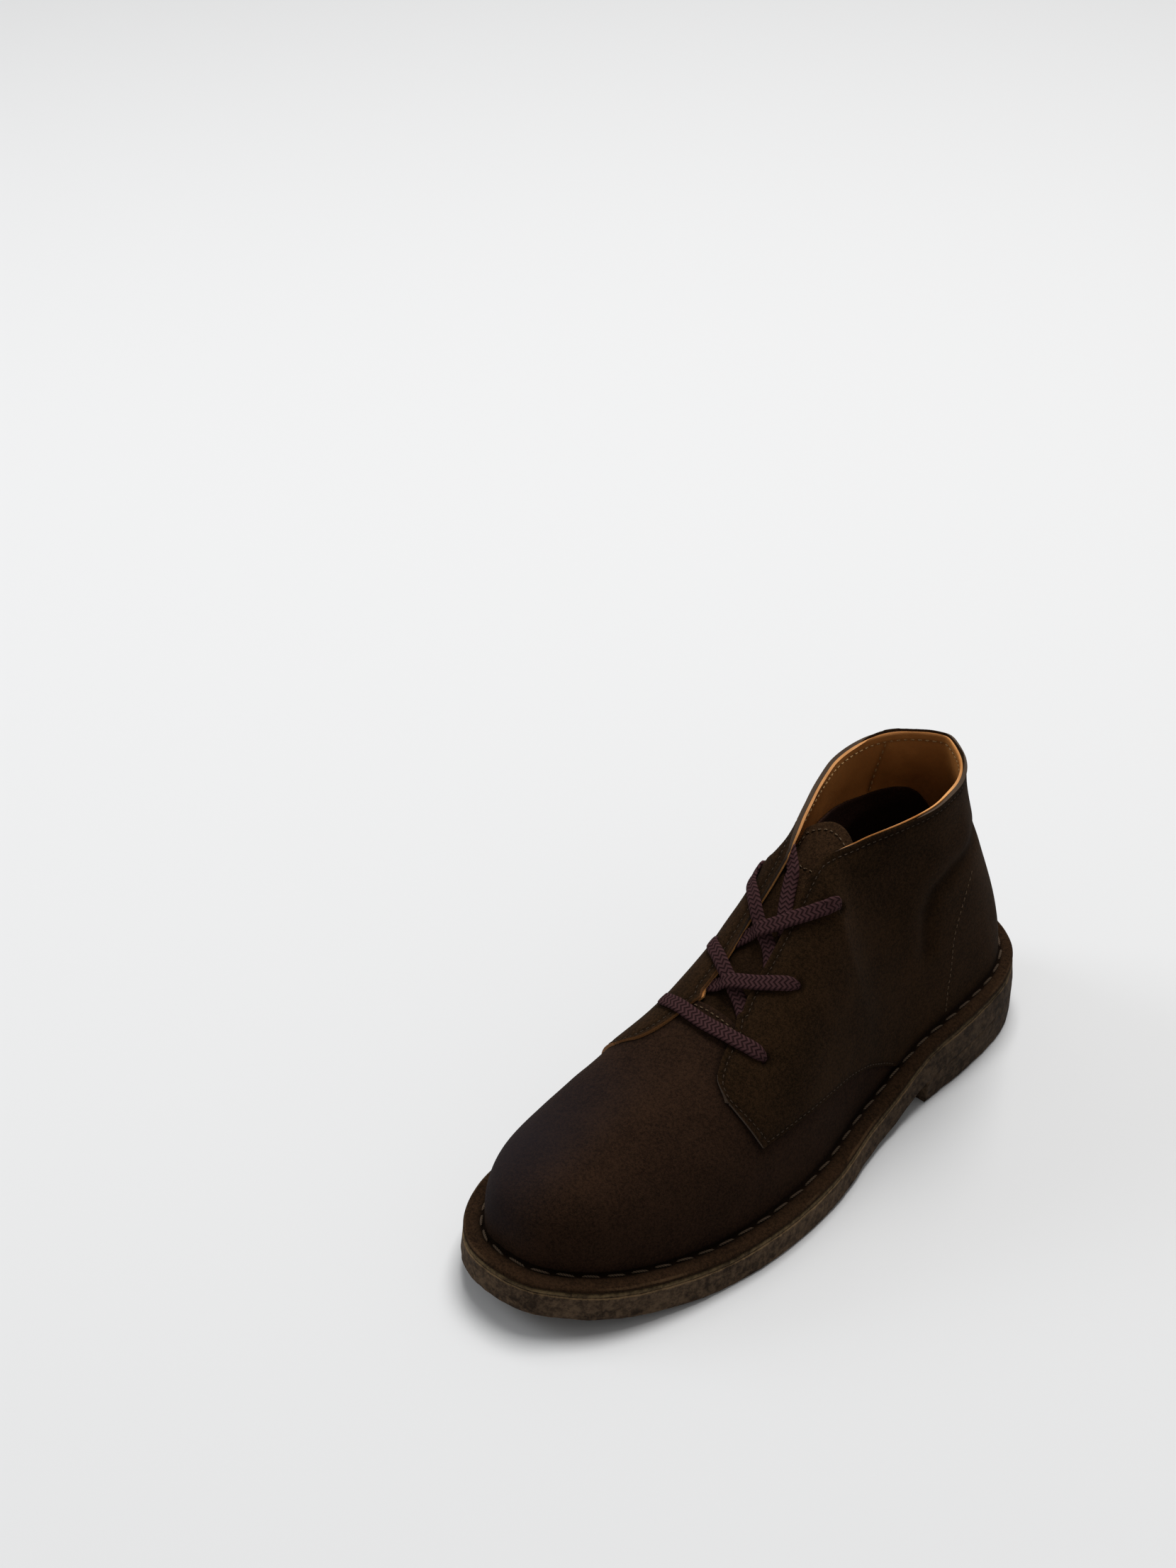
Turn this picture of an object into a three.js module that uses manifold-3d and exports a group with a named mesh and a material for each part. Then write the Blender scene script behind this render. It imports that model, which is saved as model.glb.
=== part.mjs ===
// A left desert boot standing on its sole: crepe outsole and heel lift, midsole, insole, a suede upper whose
// lower edge is turned out over the midsole as a flange, a tongue and a flat lace. Millimetres, +Z up, the toe
// towards -Y and the outer side of the foot towards +X. "Along" runs from the back of the heel to the toe.
import * as THREE from 'three';
import { mergeVertices } from 'three/addons/utils/BufferGeometryUtils.js';
import Module from 'manifold-3d';

const wasm = await Module();
wasm.setup();

// Driving sizes of the last and the sole
const bootLength = 300;       // outsole from the back of the heel to the toe
const ballWidth = 105.7;      // outsole across the ball of the foot
const collarHeight = 138.4;   // floor to the top of the collar
const instepHeight = 85;      // floor to the instep at the foot of the throat
const heelSeatHeight = 27.7;  // floor to the top of the midsole at the heel
const ballHeight = 13.1;      // floor to the top of the midsole under the ball
const toeSpring = 10.6;       // rise of the toe's end
const heelLength = 93;        // back of the heel to the breast of the heel lift
const collarSetback = 30;     // how far the back of the collar leans forward of the heel
const toeDepth = 19;          // how far the toe's front wall curves back as it rises
const flangeWidth = 8.6;      // turned-out edge of the upper along the foot
const heelFlangeWidth = 8.1;  // the same around the heel

// Thicknesses and clearances
const midsoleThickness = 1.6;
const insoleThickness = 3;
const flangeThickness = 2;
const upperWall = 2;
const quarterStep = 1.3;      // how far the quarters stand proud of the vamp
const quarterSink = 0.65;     // how deep their inner face lies in the vamp's wall, as a share of it
const tongueThickness = 2;
const tongueLean = THREE.MathUtils.degToRad(25);   // slope of the tongue's free top
const seat = 0.3;             // clearance between pieces that lie on each other
const crepeFlare = 0.9;       // how far the crepe stands out at its foot
const crepeEdge = 1;          // worn edge along the foot of the crepe

// Throat, lace holes and lace
const throatWidth = 13.4;     // gap between the facings at the top of the throat
const throatTop = 108;        // where the throat opens into the collar, from the back of the heel
// the throat's cutter starts at this share of instepHeight and ends at this share of collarHeight
const throatCutFrom = 0.5;
const throatCutTo = 1.2;
const throatFoot = 181.5;     // where the vamp and the tongue are sewn together
const holeDiameter = 4.2;
const laceWidth = 6;
const laceThickness = 1.5;

// Outline of the outsole: half widths either side of the heel's axis, as shares of the ball width
const soleOutline = [
  { along: 0.0133, outer: 0.133, inner: 0.150 },
  { along: 0.0467, outer: 0.267, inner: 0.279 },
  { along: 0.1067, outer: 0.360, inner: 0.361 },
  { along: 0.2, outer: 0.398, inner: 0.3765 },
  { along: 0.3167, outer: 0.401, inner: 0.3425 },
  { along: 0.4333, outer: 0.432, inner: 0.336 },
  { along: 0.55, outer: 0.4995, inner: 0.399 },
  { along: 0.6667, outer: 0.512, inner: 0.472 },
  { along: 0.7667, outer: 0.470, inner: 0.488 },
  { along: 0.8533, outer: 0.3945, inner: 0.462 },
  { along: 0.92, outer: 0.298, inner: 0.396 },
  { along: 0.9667, outer: 0.179, inner: 0.300 },
  { along: 0.9917, outer: 0.074, inner: 0.198 },
];
const toeTipOffset = -0.0795;

// Side profile of the midsole's top: share of the heel's rise over the ball, and of the toe spring
const soleProfile = [
  { along: 0, heelRise: 1, toeRise: 0 },
  { along: 0.183, heelRise: 0.973, toeRise: 0 },
  { along: 0.283, heelRise: 0.87, toeRise: 0 },
  { along: 0.4, heelRise: 0.253, toeRise: 0 },
  { along: 0.5, heelRise: 0.089, toeRise: 0 },
  { along: 0.617, heelRise: 0, toeRise: 0 },
  { along: 0.75, heelRise: 0, toeRise: 0 },
  { along: 0.833, heelRise: 0, toeRise: 0.217 },
  { along: 0.933, heelRise: 0, toeRise: 0.62 },
  { along: 1, heelRise: 0, toeRise: 1 },
];

// Sections of the upper. The first rows end at the collar: its height as a share of the collar height and its
// half width as a share of the foot's. The others end at the ridge of the instep and vamp. "ridge" is the
// sideways place of the middle as a share of the ball width, "front" turns the straight leg into the arched
// foot, and "fullness" is the power of the arch.
const collarSections = [
  { along: 0, height: 1, ridge: -0.005, collar: 0.48, front: 0, fullness: 2.55 },
  { along: 0.05, height: 1, ridge: -0.005, collar: 0.69, front: 0, fullness: 2.55 },
  { along: 0.13, height: 1, ridge: -0.005, collar: 0.76, front: 0, fullness: 2.55 },
  { along: 0.18, height: 0.997, ridge: -0.005, collar: 0.755, front: 0, fullness: 2.55 },
  { along: 0.225, height: 0.994, ridge: -0.003, collar: 0.69, front: 0.05, fullness: 2.55 },
  { along: 0.275, height: 0.989, ridge: -0.001, collar: 0.59, front: 0.15, fullness: 2.55 },
  { along: 0.31, height: 0.982, ridge: 0, collar: 0.49, front: 0.3, fullness: 2.55 },
  { along: 0.34, height: 0.971, ridge: 0.001, collar: 0.4, front: 0.45, fullness: 2.55 },
  { along: 0.37, height: 0.957, ridge: 0.003, collar: 0.295, front: 0.6, fullness: 2.55 },
  { along: 0.395, height: 0.933, ridge: 0.004, collar: 0.185, front: 0.8, fullness: 2.55 },
];
const ridgeSections = [
  { along: 0.415, height: 1.473, ridge: 0.005, collar: 0, front: 1, fullness: 2.55 },
  { along: 0.435, height: 1.41, ridge: 0.006, collar: 0, front: 1, fullness: 2.55 },
  { along: 0.467, height: 1.32, ridge: 0.007, collar: 0, front: 1, fullness: 2.55 },
  { along: 0.5, height: 1.225, ridge: 0.0075, collar: 0, front: 1, fullness: 2.5 },
  { along: 0.55, height: 1.1, ridge: 0.0075, collar: 0, front: 1, fullness: 2.5 },
  { along: 0.6, height: 1, ridge: 0.0075, collar: 0, front: 1, fullness: 2.45 },
  { along: 0.66, height: 0.912, ridge: 0.002, collar: 0, front: 1, fullness: 2.4 },
  { along: 0.73, height: 0.832, ridge: -0.014, collar: 0, front: 1, fullness: 2.4 },
  { along: 0.82, height: 0.76, ridge: -0.038, collar: 0, front: 1, fullness: 2.4 },
  { along: 0.91, height: 0.687, ridge: -0.059, collar: 0, front: 1, fullness: 2.7 },
  { along: 1, height: 0.618, ridge: -0.076, collar: 0, front: 1, fullness: 3.05 },
];
const toeFullness = 3.05;
const toeCrown = 0.985;       // share of the toe's curve that is used, so that the ridge stays smooth
const legCurve = { wave: 0.6, power: 1.15 };

// Edges of the two quarters, from the back seam to their front points: "low" is the seam along the flange and
// across the vamp, "top" follows the collar, the facing and the rounded front edge
const outerQuarter = [
  { reach: 0, lowAlong: 0, lowRise: 0, topAlong: 0, topRise: 1 },
  { reach: 0.1, lowAlong: 0.018, lowRise: 0, topAlong: 0.016, topRise: 1 },
  { reach: 0.25, lowAlong: 0.105, lowRise: 0, topAlong: 0.105, topRise: 1 },
  { reach: 0.55, lowAlong: 0.33, lowRise: 0, topAlong: 0.35, topRise: 1 },
  { reach: 0.63, lowAlong: 0.377, lowRise: 0.128, topAlong: 0.405, topRise: 0.999 },
  { reach: 0.7, lowAlong: 0.424, lowRise: 0.225, topAlong: 0.455, topRise: 0.997 },
  { reach: 0.82, lowAlong: 0.524, lowRise: 0.376, topAlong: 0.57, topRise: 0.995 },
  { reach: 0.87, lowAlong: 0.568, lowRise: 0.44, topAlong: 0.612, topRise: 0.976 },
  { reach: 0.92, lowAlong: 0.61, lowRise: 0.487, topAlong: 0.651, topRise: 0.96 },
  { reach: 0.96, lowAlong: 0.64, lowRise: 0.512, topAlong: 0.676, topRise: 0.93 },
  { reach: 1, lowAlong: 0.662, lowRise: 0.525, topAlong: 0.68, topRise: 0.86 },
];
const innerQuarter = [
  { reach: 0, lowAlong: 0, lowRise: 0, topAlong: 0, topRise: 1 },
  { reach: 0.1, lowAlong: 0.018, lowRise: 0, topAlong: 0.016, topRise: 1 },
  { reach: 0.25, lowAlong: 0.105, lowRise: 0, topAlong: 0.105, topRise: 1 },
  { reach: 0.55, lowAlong: 0.33, lowRise: 0, topAlong: 0.35, topRise: 1 },
  { reach: 0.63, lowAlong: 0.377, lowRise: 0.128, topAlong: 0.405, topRise: 0.999 },
  { reach: 0.7, lowAlong: 0.424, lowRise: 0.225, topAlong: 0.455, topRise: 0.998 },
  { reach: 0.82, lowAlong: 0.53, lowRise: 0.376, topAlong: 0.575, topRise: 0.997 },
  { reach: 0.87, lowAlong: 0.578, lowRise: 0.44, topAlong: 0.618, topRise: 0.988 },
  { reach: 0.92, lowAlong: 0.622, lowRise: 0.487, topAlong: 0.66, topRise: 0.974 },
  { reach: 0.96, lowAlong: 0.655, lowRise: 0.512, topAlong: 0.687, topRise: 0.945 },
  { reach: 1, lowAlong: 0.68, lowRise: 0.525, topAlong: 0.695, topRise: 0.86 },
];

// Plan of the throat: sideways place of its middle as a share of the ball width, half gap as a share of the
// throat width, at shares of the way from its top to its foot
const throatPlan = [
  { along: 0, middle: 0.019, half: 0.49 },
  { along: 0.35, middle: 0.019, half: 0.49 },
  { along: 0.63, middle: 0.019, half: 0.6 },
  { along: 0.9, middle: 0.021, half: 0.66 },
  { along: 1, middle: 0.028, half: 0.78 },
];

// Lace holes, from the foot of the throat up
const laceHoles = [
  { along: 0.597, rise: 0.85 },
  { along: 0.5, rise: 0.885 },
  { along: 0.393, rise: 0.87 },
];

// Lace strands. A knot is a hole, or a place in plan as shares of the ball width and the boot's length with the
// way the strand lies there: in the slot on the tongue, spanning it, or over the facings
const laceRows = {
  lace_row_1: [[
    { side: 'inner', hole: 0 },
    { across: -0.185, along: 0.626, lie: 'over' },
    { across: -0.115, along: 0.631, lie: 'over' },
    { across: 0.028, along: 0.635, lie: 'span' },
    { across: 0.155, along: 0.631, lie: 'over' },
    { across: 0.215, along: 0.625, lie: 'over' },
    { side: 'outer', hole: 0 },
  ]],
  lace_row_2: [[
    { across: -0.04, along: 0.589, lie: 'slot' },
    { across: 0.02, along: 0.579, lie: 'span' },
    { across: 0.115, along: 0.566, lie: 'over' },
    { across: 0.17, along: 0.554, lie: 'over' },
    { side: 'outer', hole: 1 },
  ], [
    { across: 0.08, along: 0.589, lie: 'slot' },
    { across: 0.02, along: 0.581, lie: 'span' },
    { across: -0.08, along: 0.562, lie: 'over' },
    { across: -0.135, along: 0.55, lie: 'over' },
    { side: 'inner', hole: 1 },
  ]],
  lace_row_3: [[
    { across: -0.033, along: 0.53, lie: 'slot' },
    { across: 0.02, along: 0.519, lie: 'span' },
    { across: 0.095, along: 0.5, lie: 'over' },
    { across: 0.145, along: 0.481, lie: 'over' },
    { side: 'outer', hole: 2 },
  ], [
    { across: 0.07, along: 0.532, lie: 'slot' },
    { across: 0.015, along: 0.521, lie: 'span' },
    { across: -0.075, along: 0.496, lie: 'over' },
    { across: -0.125, along: 0.476, lie: 'over' },
    { side: 'inner', hole: 2 },
  ]],
  lace_top: [[
    { across: 0.002, along: 0.46, lie: 'slot' },
    { across: 0.012, along: 0.472, lie: 'slot' },
    { across: 0.028, along: 0.484, lie: 'slot' },
    { across: 0.042, along: 0.495, lie: 'slot' },
  ]],
};

// Tongue, from its seam up: middle on the ridge (or beyond its top by "past" of the ball width) and edges
const tongueRows = [
  { middle: 0.608, past: 0, edge: 0.608, edgeRise: 0.88 },
  { middle: 0.56, past: 0, edge: 0.558, edgeRise: 0.86 },
  { middle: 0.51, past: 0, edge: 0.505, edgeRise: 0.86 },
  { middle: 0.465, past: 0, edge: 0.455, edgeRise: 0.87 },
  { middle: 0.43, past: 0, edge: 0.418, edgeRise: 0.89 },
  { middle: 0.43, past: 0.09, edge: 0.392, edgeRise: 0.89 },
  { middle: 0.43, past: 0.19, edge: 0.36, edgeRise: 0.91 },
  { middle: 0.43, past: 0.28, edge: 0.33, edgeRise: 0.94 },
];

// Fineness of the meshes
const outlineSpans = 8;
const loopStations = 41;
const wallRows = 11;
const quarterColumns = 28;
const quarterRows = 9;
const laceSteps = 14;
const planTurns = 12;
const planHalvings = 24;

// Monotone cubic through the rows of a table, so that level stretches stay level
function curveThrough(rows, column) {
  const x = rows.map((row) => row.along ?? row.reach);
  const y = rows.map((row) => row[column]);
  const step = x.slice(1).map((value, i) => value - x[i]);
  const slope = step.map((h, i) => (y[i + 1] - y[i]) / h);
  const tangent = x.map((_, i) => {
    if (i === 0) return slope[0];
    if (i === x.length - 1) return slope[i - 1];
    if (slope[i - 1] * slope[i] <= 0) return 0;
    const before = 2 * step[i] + step[i - 1];
    const after = step[i] + 2 * step[i - 1];
    return (before + after) / (before / slope[i - 1] + after / slope[i]);
  });
  return (at) => {
    const where = THREE.MathUtils.clamp(at, x[0], x[x.length - 1]);
    let i = 0;
    while (i < x.length - 2 && where > x[i + 1]) i += 1;
    const t = (where - x[i]) / step[i];
    return y[i] * (1 + 2 * t) * (1 - t) ** 2 + step[i] * tangent[i] * t * (1 - t) ** 2
      + y[i + 1] * t * t * (3 - 2 * t) + step[i] * tangent[i + 1] * t * t * (t - 1);
  };
}

function curvesThrough(rows, columns) {
  return Object.fromEntries(columns.map((column) => [column, curveThrough(rows, column)]));
}

// Height of the midsole's top above the floor
const profile = curvesThrough(soleProfile, ['heelRise', 'toeRise']);
function midsoleTop(s) {
  const along = s / bootLength;
  return ballHeight + (heelSeatHeight - ballHeight) * profile.heelRise(along)
    + toeSpring * profile.toeRise(along);
}
const crepeTopDrop = midsoleThickness + seat;
const crepeThickness = ballHeight - crepeTopDrop;

// The outsole's outline in plan (x sideways, y along), with the same curve drawn in by a margin
function soleCurve() {
  const outer = soleOutline.map((row) => new THREE.Vector3(row.outer * ballWidth, row.along * bootLength, 0));
  const inner = soleOutline.map((row) => new THREE.Vector3(-row.inner * ballWidth, row.along * bootLength, 0));
  const heelEnd = new THREE.Vector3(0, 0, 0);
  const toeEnd = new THREE.Vector3(toeTipOffset * ballWidth, bootLength, 0);
  const points = [heelEnd, ...outer, toeEnd, ...inner.reverse()];
  const curve = new THREE.CatmullRomCurve3(points, true, 'centripetal');
  return curve.getPoints(points.length * outlineSpans).slice(0, -1);
}

function drawnIn(loop, margin) {
  return loop.map((point, i) => {
    const before = loop[(i + loop.length - 1) % loop.length];
    const after = loop[(i + 1) % loop.length];
    const away = new THREE.Vector3(after.y - before.y, before.x - after.x, 0).normalize();
    return point.clone().addScaledVector(away, -margin(point.y));
  });
}

// The two sides of a loop, from its rearmost to its foremost point, each with its share of the way
function sidesOf(loop) {
  const s = loop.map((point) => point.y);
  const back = s.indexOf(Math.min(...s));
  const front = s.indexOf(Math.max(...s));
  const walk = (direction) => {
    const indices = [];
    for (let i = back; i !== front; i = (i + direction + loop.length) % loop.length) indices.push(i);
    indices.push(front);
    return { indices, share: indices.map((i) => (s[i] - s[back]) / (s[front] - s[back])) };
  };
  return { outer: walk(1), inner: walk(-1), start: s[back], end: s[front] };
}

// The point of a loop at a share of the way along one of its sides
function pointAt(loop, side, share) {
  let i = 0;
  while (i < side.share.length - 2 && share > side.share[i + 1]) i += 1;
  const t = (share - side.share[i]) / (side.share[i + 1] - side.share[i]);
  return new THREE.Vector3().lerpVectors(loop[side.indices[i]], loop[side.indices[i + 1]], t);
}

const outline = soleCurve();
const outlineSides = sidesOf(outline);
const heelBlend = { from: 20, over: 80 };
const flangeAt = (s) => {
  const blend = THREE.MathUtils.clamp((s - heelBlend.from) / heelBlend.over, 0, 1);
  return heelFlangeWidth + (flangeWidth - heelFlangeWidth) * blend;
};
const feather = drawnIn(outline, flangeAt);
const featherSides = sidesOf(feather);

// Stations round the boot, closer together at the heel and the toe: out along one side, back on the other
const stationShares = Array.from({ length: loopStations }, (_, k) => (
  (1 - Math.cos((Math.PI * k) / (loopStations - 1))) / 2));
function aroundStations(shares) {
  const out = shares.map((share) => ({ side: 'outer', share }));
  const back = shares.slice(1, -1).reverse().map((share) => ({ side: 'inner', share }));
  return [...out, ...back];
}
const around = aroundStations(stationShares);

const sections = [
  ...collarSections.map((row) => ({ ...row, height: row.height * collarHeight })),
  ...ridgeSections.map((row) => ({ ...row, height: row.height * instepHeight })),
];
const section = curvesThrough(sections, ['height', 'ridge', 'collar', 'front', 'fullness']);
const ridgeStart = ridgeSections[0].along;

// How far a wall has still to go inwards at a share of its rise, on the leg and on the arched foot
const legProfile = (rise) => (
  1 - legCurve.wave * (1 - Math.cos(Math.PI * rise)) / 2 - (1 - legCurve.wave) * rise ** legCurve.power);
const arch = (rise, power) => Math.max(1 - rise ** power, 0) ** (1 / power);

// The last's surface: a side, a share of the way along it and a share of the rise from flange to top
function lastPoint(side, share, rise) {
  const foot = pointAt(feather, featherSides[side], share);
  const front = section.front(share);
  const inward = (1 - front) * legProfile(rise) + front * arch(rise, section.fullness(share));
  const collar = section.collar(share);
  const middle = section.ridge(share) * ballWidth;
  const x = middle + (foot.x - middle) * (collar + (1 - collar) * inward);
  const back = featherSides.start + collarSetback * (1 - legProfile(rise));
  const toe = featherSides.end - toeDepth * (1 - arch(rise * toeCrown, toeFullness));
  const s = back + (toe - back) * share;
  const base = midsoleTop(foot.y) + seat + flangeThickness;
  return new THREE.Vector3(x, s, base + (section.height(share) - base) * rise);
}

// Unit vector out of the last's surface
function lastNormal(side, share, rise) {
  const stepAlong = 0.004;
  const stepUp = 0.004;
  const a = Math.min(Math.max(share, stepAlong), 1 - stepAlong);
  const r = Math.min(Math.max(rise, stepUp), 1 - stepUp);
  const along = lastPoint(side, a + stepAlong, r).sub(lastPoint(side, a - stepAlong, r));
  const up = lastPoint(side, a, r + stepUp).sub(lastPoint(side, a, r - stepUp));
  const normal = along.cross(up).normalize();
  return side === 'outer' ? normal : normal.negate();
}

function lastOffset(side, share, rise, distance) {
  return lastPoint(side, share, rise).addScaledVector(lastNormal(side, share, rise), distance);
}

// Solids are lists of points (x sideways, y along, z up) and triangles, turned to the boot's frame at the end
class Shell {
  constructor() {
    this.points = [];
    this.triangles = [];
  }

  add(point) {
    this.points.push(point);
    return this.points.length - 1;
  }

  quad(a, b, c, d) {
    this.triangle(a, b, c);
    this.triangle(a, c, d);
  }

  triangle(a, b, c) {
    if (a !== b && b !== c && c !== a) this.triangles.push([a, b, c]);
  }

  // Strips between rows of point numbers
  skin(rows, closed) {
    for (let j = 0; j < rows.length - 1; j += 1) {
      const count = rows[j].length;
      for (let i = 0; i < (closed ? count : count - 1); i += 1) {
        const n = (i + 1) % count;
        this.quad(rows[j][i], rows[j][n], rows[j + 1][n], rows[j + 1][i]);
      }
    }
  }

  geometry() {
    const place = this.points.flatMap((point) => [point.x, bootLength / 2 - point.y, point.z]);
    const geometry = new THREE.BufferGeometry();
    geometry.setAttribute('position', new THREE.Float32BufferAttribute(place, 3));
    geometry.setIndex(this.triangles.flat());
    return outwards(mergeVertices(geometry, 1e-4));
  }
}

// Turn all triangles over where the closed surface is inside out
function outwards(geometry) {
  const position = geometry.getAttribute('position');
  const index = geometry.getIndex();
  const corners = [new THREE.Vector3(), new THREE.Vector3(), new THREE.Vector3()];
  let volume = 0;
  for (let i = 0; i < index.count; i += 3) {
    corners.forEach((corner, k) => corner.fromBufferAttribute(position, index.getX(i + k)));
    volume += corners[0].dot(corners[1].clone().cross(corners[2]));
  }
  if (volume < 0) {
    const turned = Array.from(index.array);
    for (let i = 0; i < turned.length; i += 3) [turned[i], turned[i + 1]] = [turned[i + 1], turned[i]];
    geometry.setIndex(turned);
  }
  return geometry;
}

function solidOf(geometry) {
  const bare = new THREE.BufferGeometry();
  bare.setAttribute('position', geometry.getAttribute('position'));
  if (geometry.getIndex()) bare.setIndex(geometry.getIndex());
  const merged = mergeVertices(bare, 1e-4);
  return new wasm.Manifold(new wasm.Mesh({
    numProp: 3,
    vertProperties: new Float32Array(merged.getAttribute('position').array),
    triVerts: new Uint32Array(merged.getIndex().array),
  }));
}

function geometryOf(solid) {
  const mesh = solid.getMesh();
  const geometry = new THREE.BufferGeometry();
  geometry.setAttribute('position', new THREE.BufferAttribute(new Float32Array(mesh.vertProperties), 3));
  geometry.setIndex(new THREE.BufferAttribute(new Uint32Array(mesh.triVerts), 1));
  return geometry;
}

// A slab that follows an outline: rings from its lower to its upper face, each with a margin and a height
function slab(loopPoints, rings) {
  const shell = new Shell();
  const rows = rings.map((ring) => loopPoints.map((point) => {
    const place = point.at.clone().addScaledVector(point.out, ring.margin);
    place.z = ring.height(place.y);
    return shell.add(place);
  }));
  shell.skin(rows, true);
  const cap = (row, flip) => {
    const count = row.length;
    for (let k = 0; k < count / 2 - 1; k += 1) {
      const corners = [row[k], row[k + 1], row[count - 1 - k], row[(count - k) % count]];
      if (flip) corners.reverse();
      shell.quad(...corners);
    }
    const half = Math.floor(count / 2);
    if (count % 2 === 0 && flip) shell.triangle(row[half - 1], row[half + 1], row[half]);
    if (count % 2 === 0 && !flip) shell.triangle(row[half - 1], row[half], row[half + 1]);
  };
  cap(rows[0], true);
  cap(rows[rows.length - 1], false);
  return shell.geometry();
}

// Points of a loop at given stations, with the direction out of the loop in plan
function loopAt(loop, sides, stations) {
  const step = 0.002;
  return stations.map(({ side, share }) => {
    const at = pointAt(loop, sides[side], share);
    const before = pointAt(loop, sides[side], Math.max(share - step, 0));
    const after = pointAt(loop, sides[side], Math.min(share + step, 1));
    const out = new THREE.Vector3(after.y - before.y, before.x - after.x, 0).normalize();
    if (side === 'inner') out.negate();
    if (share === 0) out.set(0, -1, 0);
    if (share === 1) out.set(0, 1, 0);
    return { at, out };
  });
}

// Crepe outsole: worn lower edge, flared wall
function outsoleGeometry() {
  const top = (s) => midsoleTop(s) - crepeTopDrop;
  const bottom = (s) => midsoleTop(s) - crepeTopDrop - crepeThickness;
  return slab(loopAt(outline, outlineSides, around), [
    { margin: crepeFlare - crepeEdge, height: bottom },
    { margin: crepeFlare, height: (s) => bottom(s) + crepeEdge },
    { margin: crepeFlare / 2, height: (s) => (bottom(s) + top(s)) / 2 },
    { margin: 0, height: (s) => top(s) - crepeEdge / 2 },
    { margin: -crepeEdge / 2, height: top },
  ]);
}

// Crepe heel lift under the heel seat, cut straight across at the breast
function heelGeometry() {
  const stations = 13;
  const breast = heelLength / bootLength;
  const shares = Array.from({ length: stations }, (_, k) => breast * (1 - Math.cos((Math.PI * k) / 2 / (stations - 1))));
  const inner = shares.slice(1).reverse().map((share) => ({ side: 'inner', share }));
  const loop = loopAt(outline, outlineSides, [...shares.map((share) => ({ side: 'outer', share })), ...inner]);
  const corners = [loop[stations - 1], loop[stations]];
  corners.forEach((corner) => corner.out.set(Math.sign(corner.at.x), 0, 0));
  const top = (s) => midsoleTop(s) - crepeTopDrop - crepeThickness - seat;
  return slab(loop, [
    { margin: crepeFlare - crepeEdge, height: () => 0 },
    { margin: crepeFlare, height: () => crepeEdge },
    { margin: crepeFlare, height: (s) => top(s) },
  ]);
}

function midsoleGeometry() {
  return slab(loopAt(outline, outlineSides, around), [
    { margin: -crepeEdge / 2, height: (s) => midsoleTop(s) - midsoleThickness },
    { margin: -crepeEdge / 2, height: (s) => midsoleTop(s) },
  ]);
}

function insoleGeometry() {
  const loop = drawnIn(feather, () => upperWall + 2 * seat);
  return slab(loopAt(loop, sidesOf(loop), around), [
    { margin: 0, height: (s) => midsoleTop(s) + seat },
    { margin: 0, height: (s) => midsoleTop(s) + seat + insoleThickness },
  ]);
}

// Offset of a skin's points along its own vertex normals
function skinNormals(shell) {
  const normals = shell.points.map(() => new THREE.Vector3());
  shell.triangles.forEach(([a, b, c]) => {
    const ab = shell.points[b].clone().sub(shell.points[a]);
    const ac = shell.points[c].clone().sub(shell.points[a]);
    const face = ab.cross(ac);
    [a, b, c].forEach((i) => normals[i].add(face));
  });
  return normals.map((normal) => normal.normalize());
}

// Vamp layer: the whole last under one wall, with its lower edge turned out over the midsole
function vampSolid() {
  const shell = new Shell();
  const rises = Array.from({ length: wallRows }, (_, j) => Math.sin((Math.PI / 2) * (j / (wallRows - 1))));
  const onRidge = (station) => station.share >= ridgeStart;
  const outerTop = new Map();
  const wall = rises.map((rise, j) => around.map((station) => {
    const seam = j === wallRows - 1 && onRidge(station);
    if (seam && outerTop.has(station.share)) return outerTop.get(station.share);
    const number = shell.add(lastPoint(station.side, station.share, rise));
    if (seam) outerTop.set(station.share, number);
    return number;
  }));
  shell.skin(wall, true);
  const normals = skinNormals(shell);
  const sign = normals[wall[1][Math.floor(loopStations / 2)]].x > 0 ? 1 : -1;
  const inside = wall.map(() => []);
  const insideOf = new Map();
  wall.forEach((row, j) => row.forEach((number, i) => {
    if (!insideOf.has(number)) {
      const place = shell.points[number].clone().addScaledVector(normals[number], -sign * upperWall);
      if (j === 0) place.z = midsoleTop(place.y) + seat;
      insideOf.set(number, shell.add(place));
    }
    inside[j][i] = insideOf.get(number);
  }));
  const flangeRow = (margin, rise) => around.map((station) => {
    const foot = pointAt(feather, featherSides[station.side], station.share);
    const out = pointAt(outline, featherSides[station.side], station.share);
    const place = foot.lerp(out, 1 - margin / flangeWidth);
    place.z = midsoleTop(place.y) + seat + rise;
    return shell.add(place);
  });
  const roll = flangeThickness / 4;
  const flange = [
    wall[0],
    flangeRow(3 * roll, flangeThickness),
    flangeRow(roll, flangeThickness - roll),
    flangeRow(roll, 0),
    inside[0],
  ];
  flange.reverse();
  shell.skin(flange, true);
  inside.reverse();
  shell.skin(inside, true);
  inside.reverse();
  const top = wall[wallRows - 1];
  const innerTop = inside[wallRows - 1];
  around.forEach((station, i) => {
    const n = (i + 1) % around.length;
    if (top[i] !== innerTop[i] && !(onRidge(station) && onRidge(around[n]))) {
      shell.quad(top[i], top[n], innerTop[n], innerTop[i]);
    }
  });
  return solidOf(shell.geometry());
}

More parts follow.
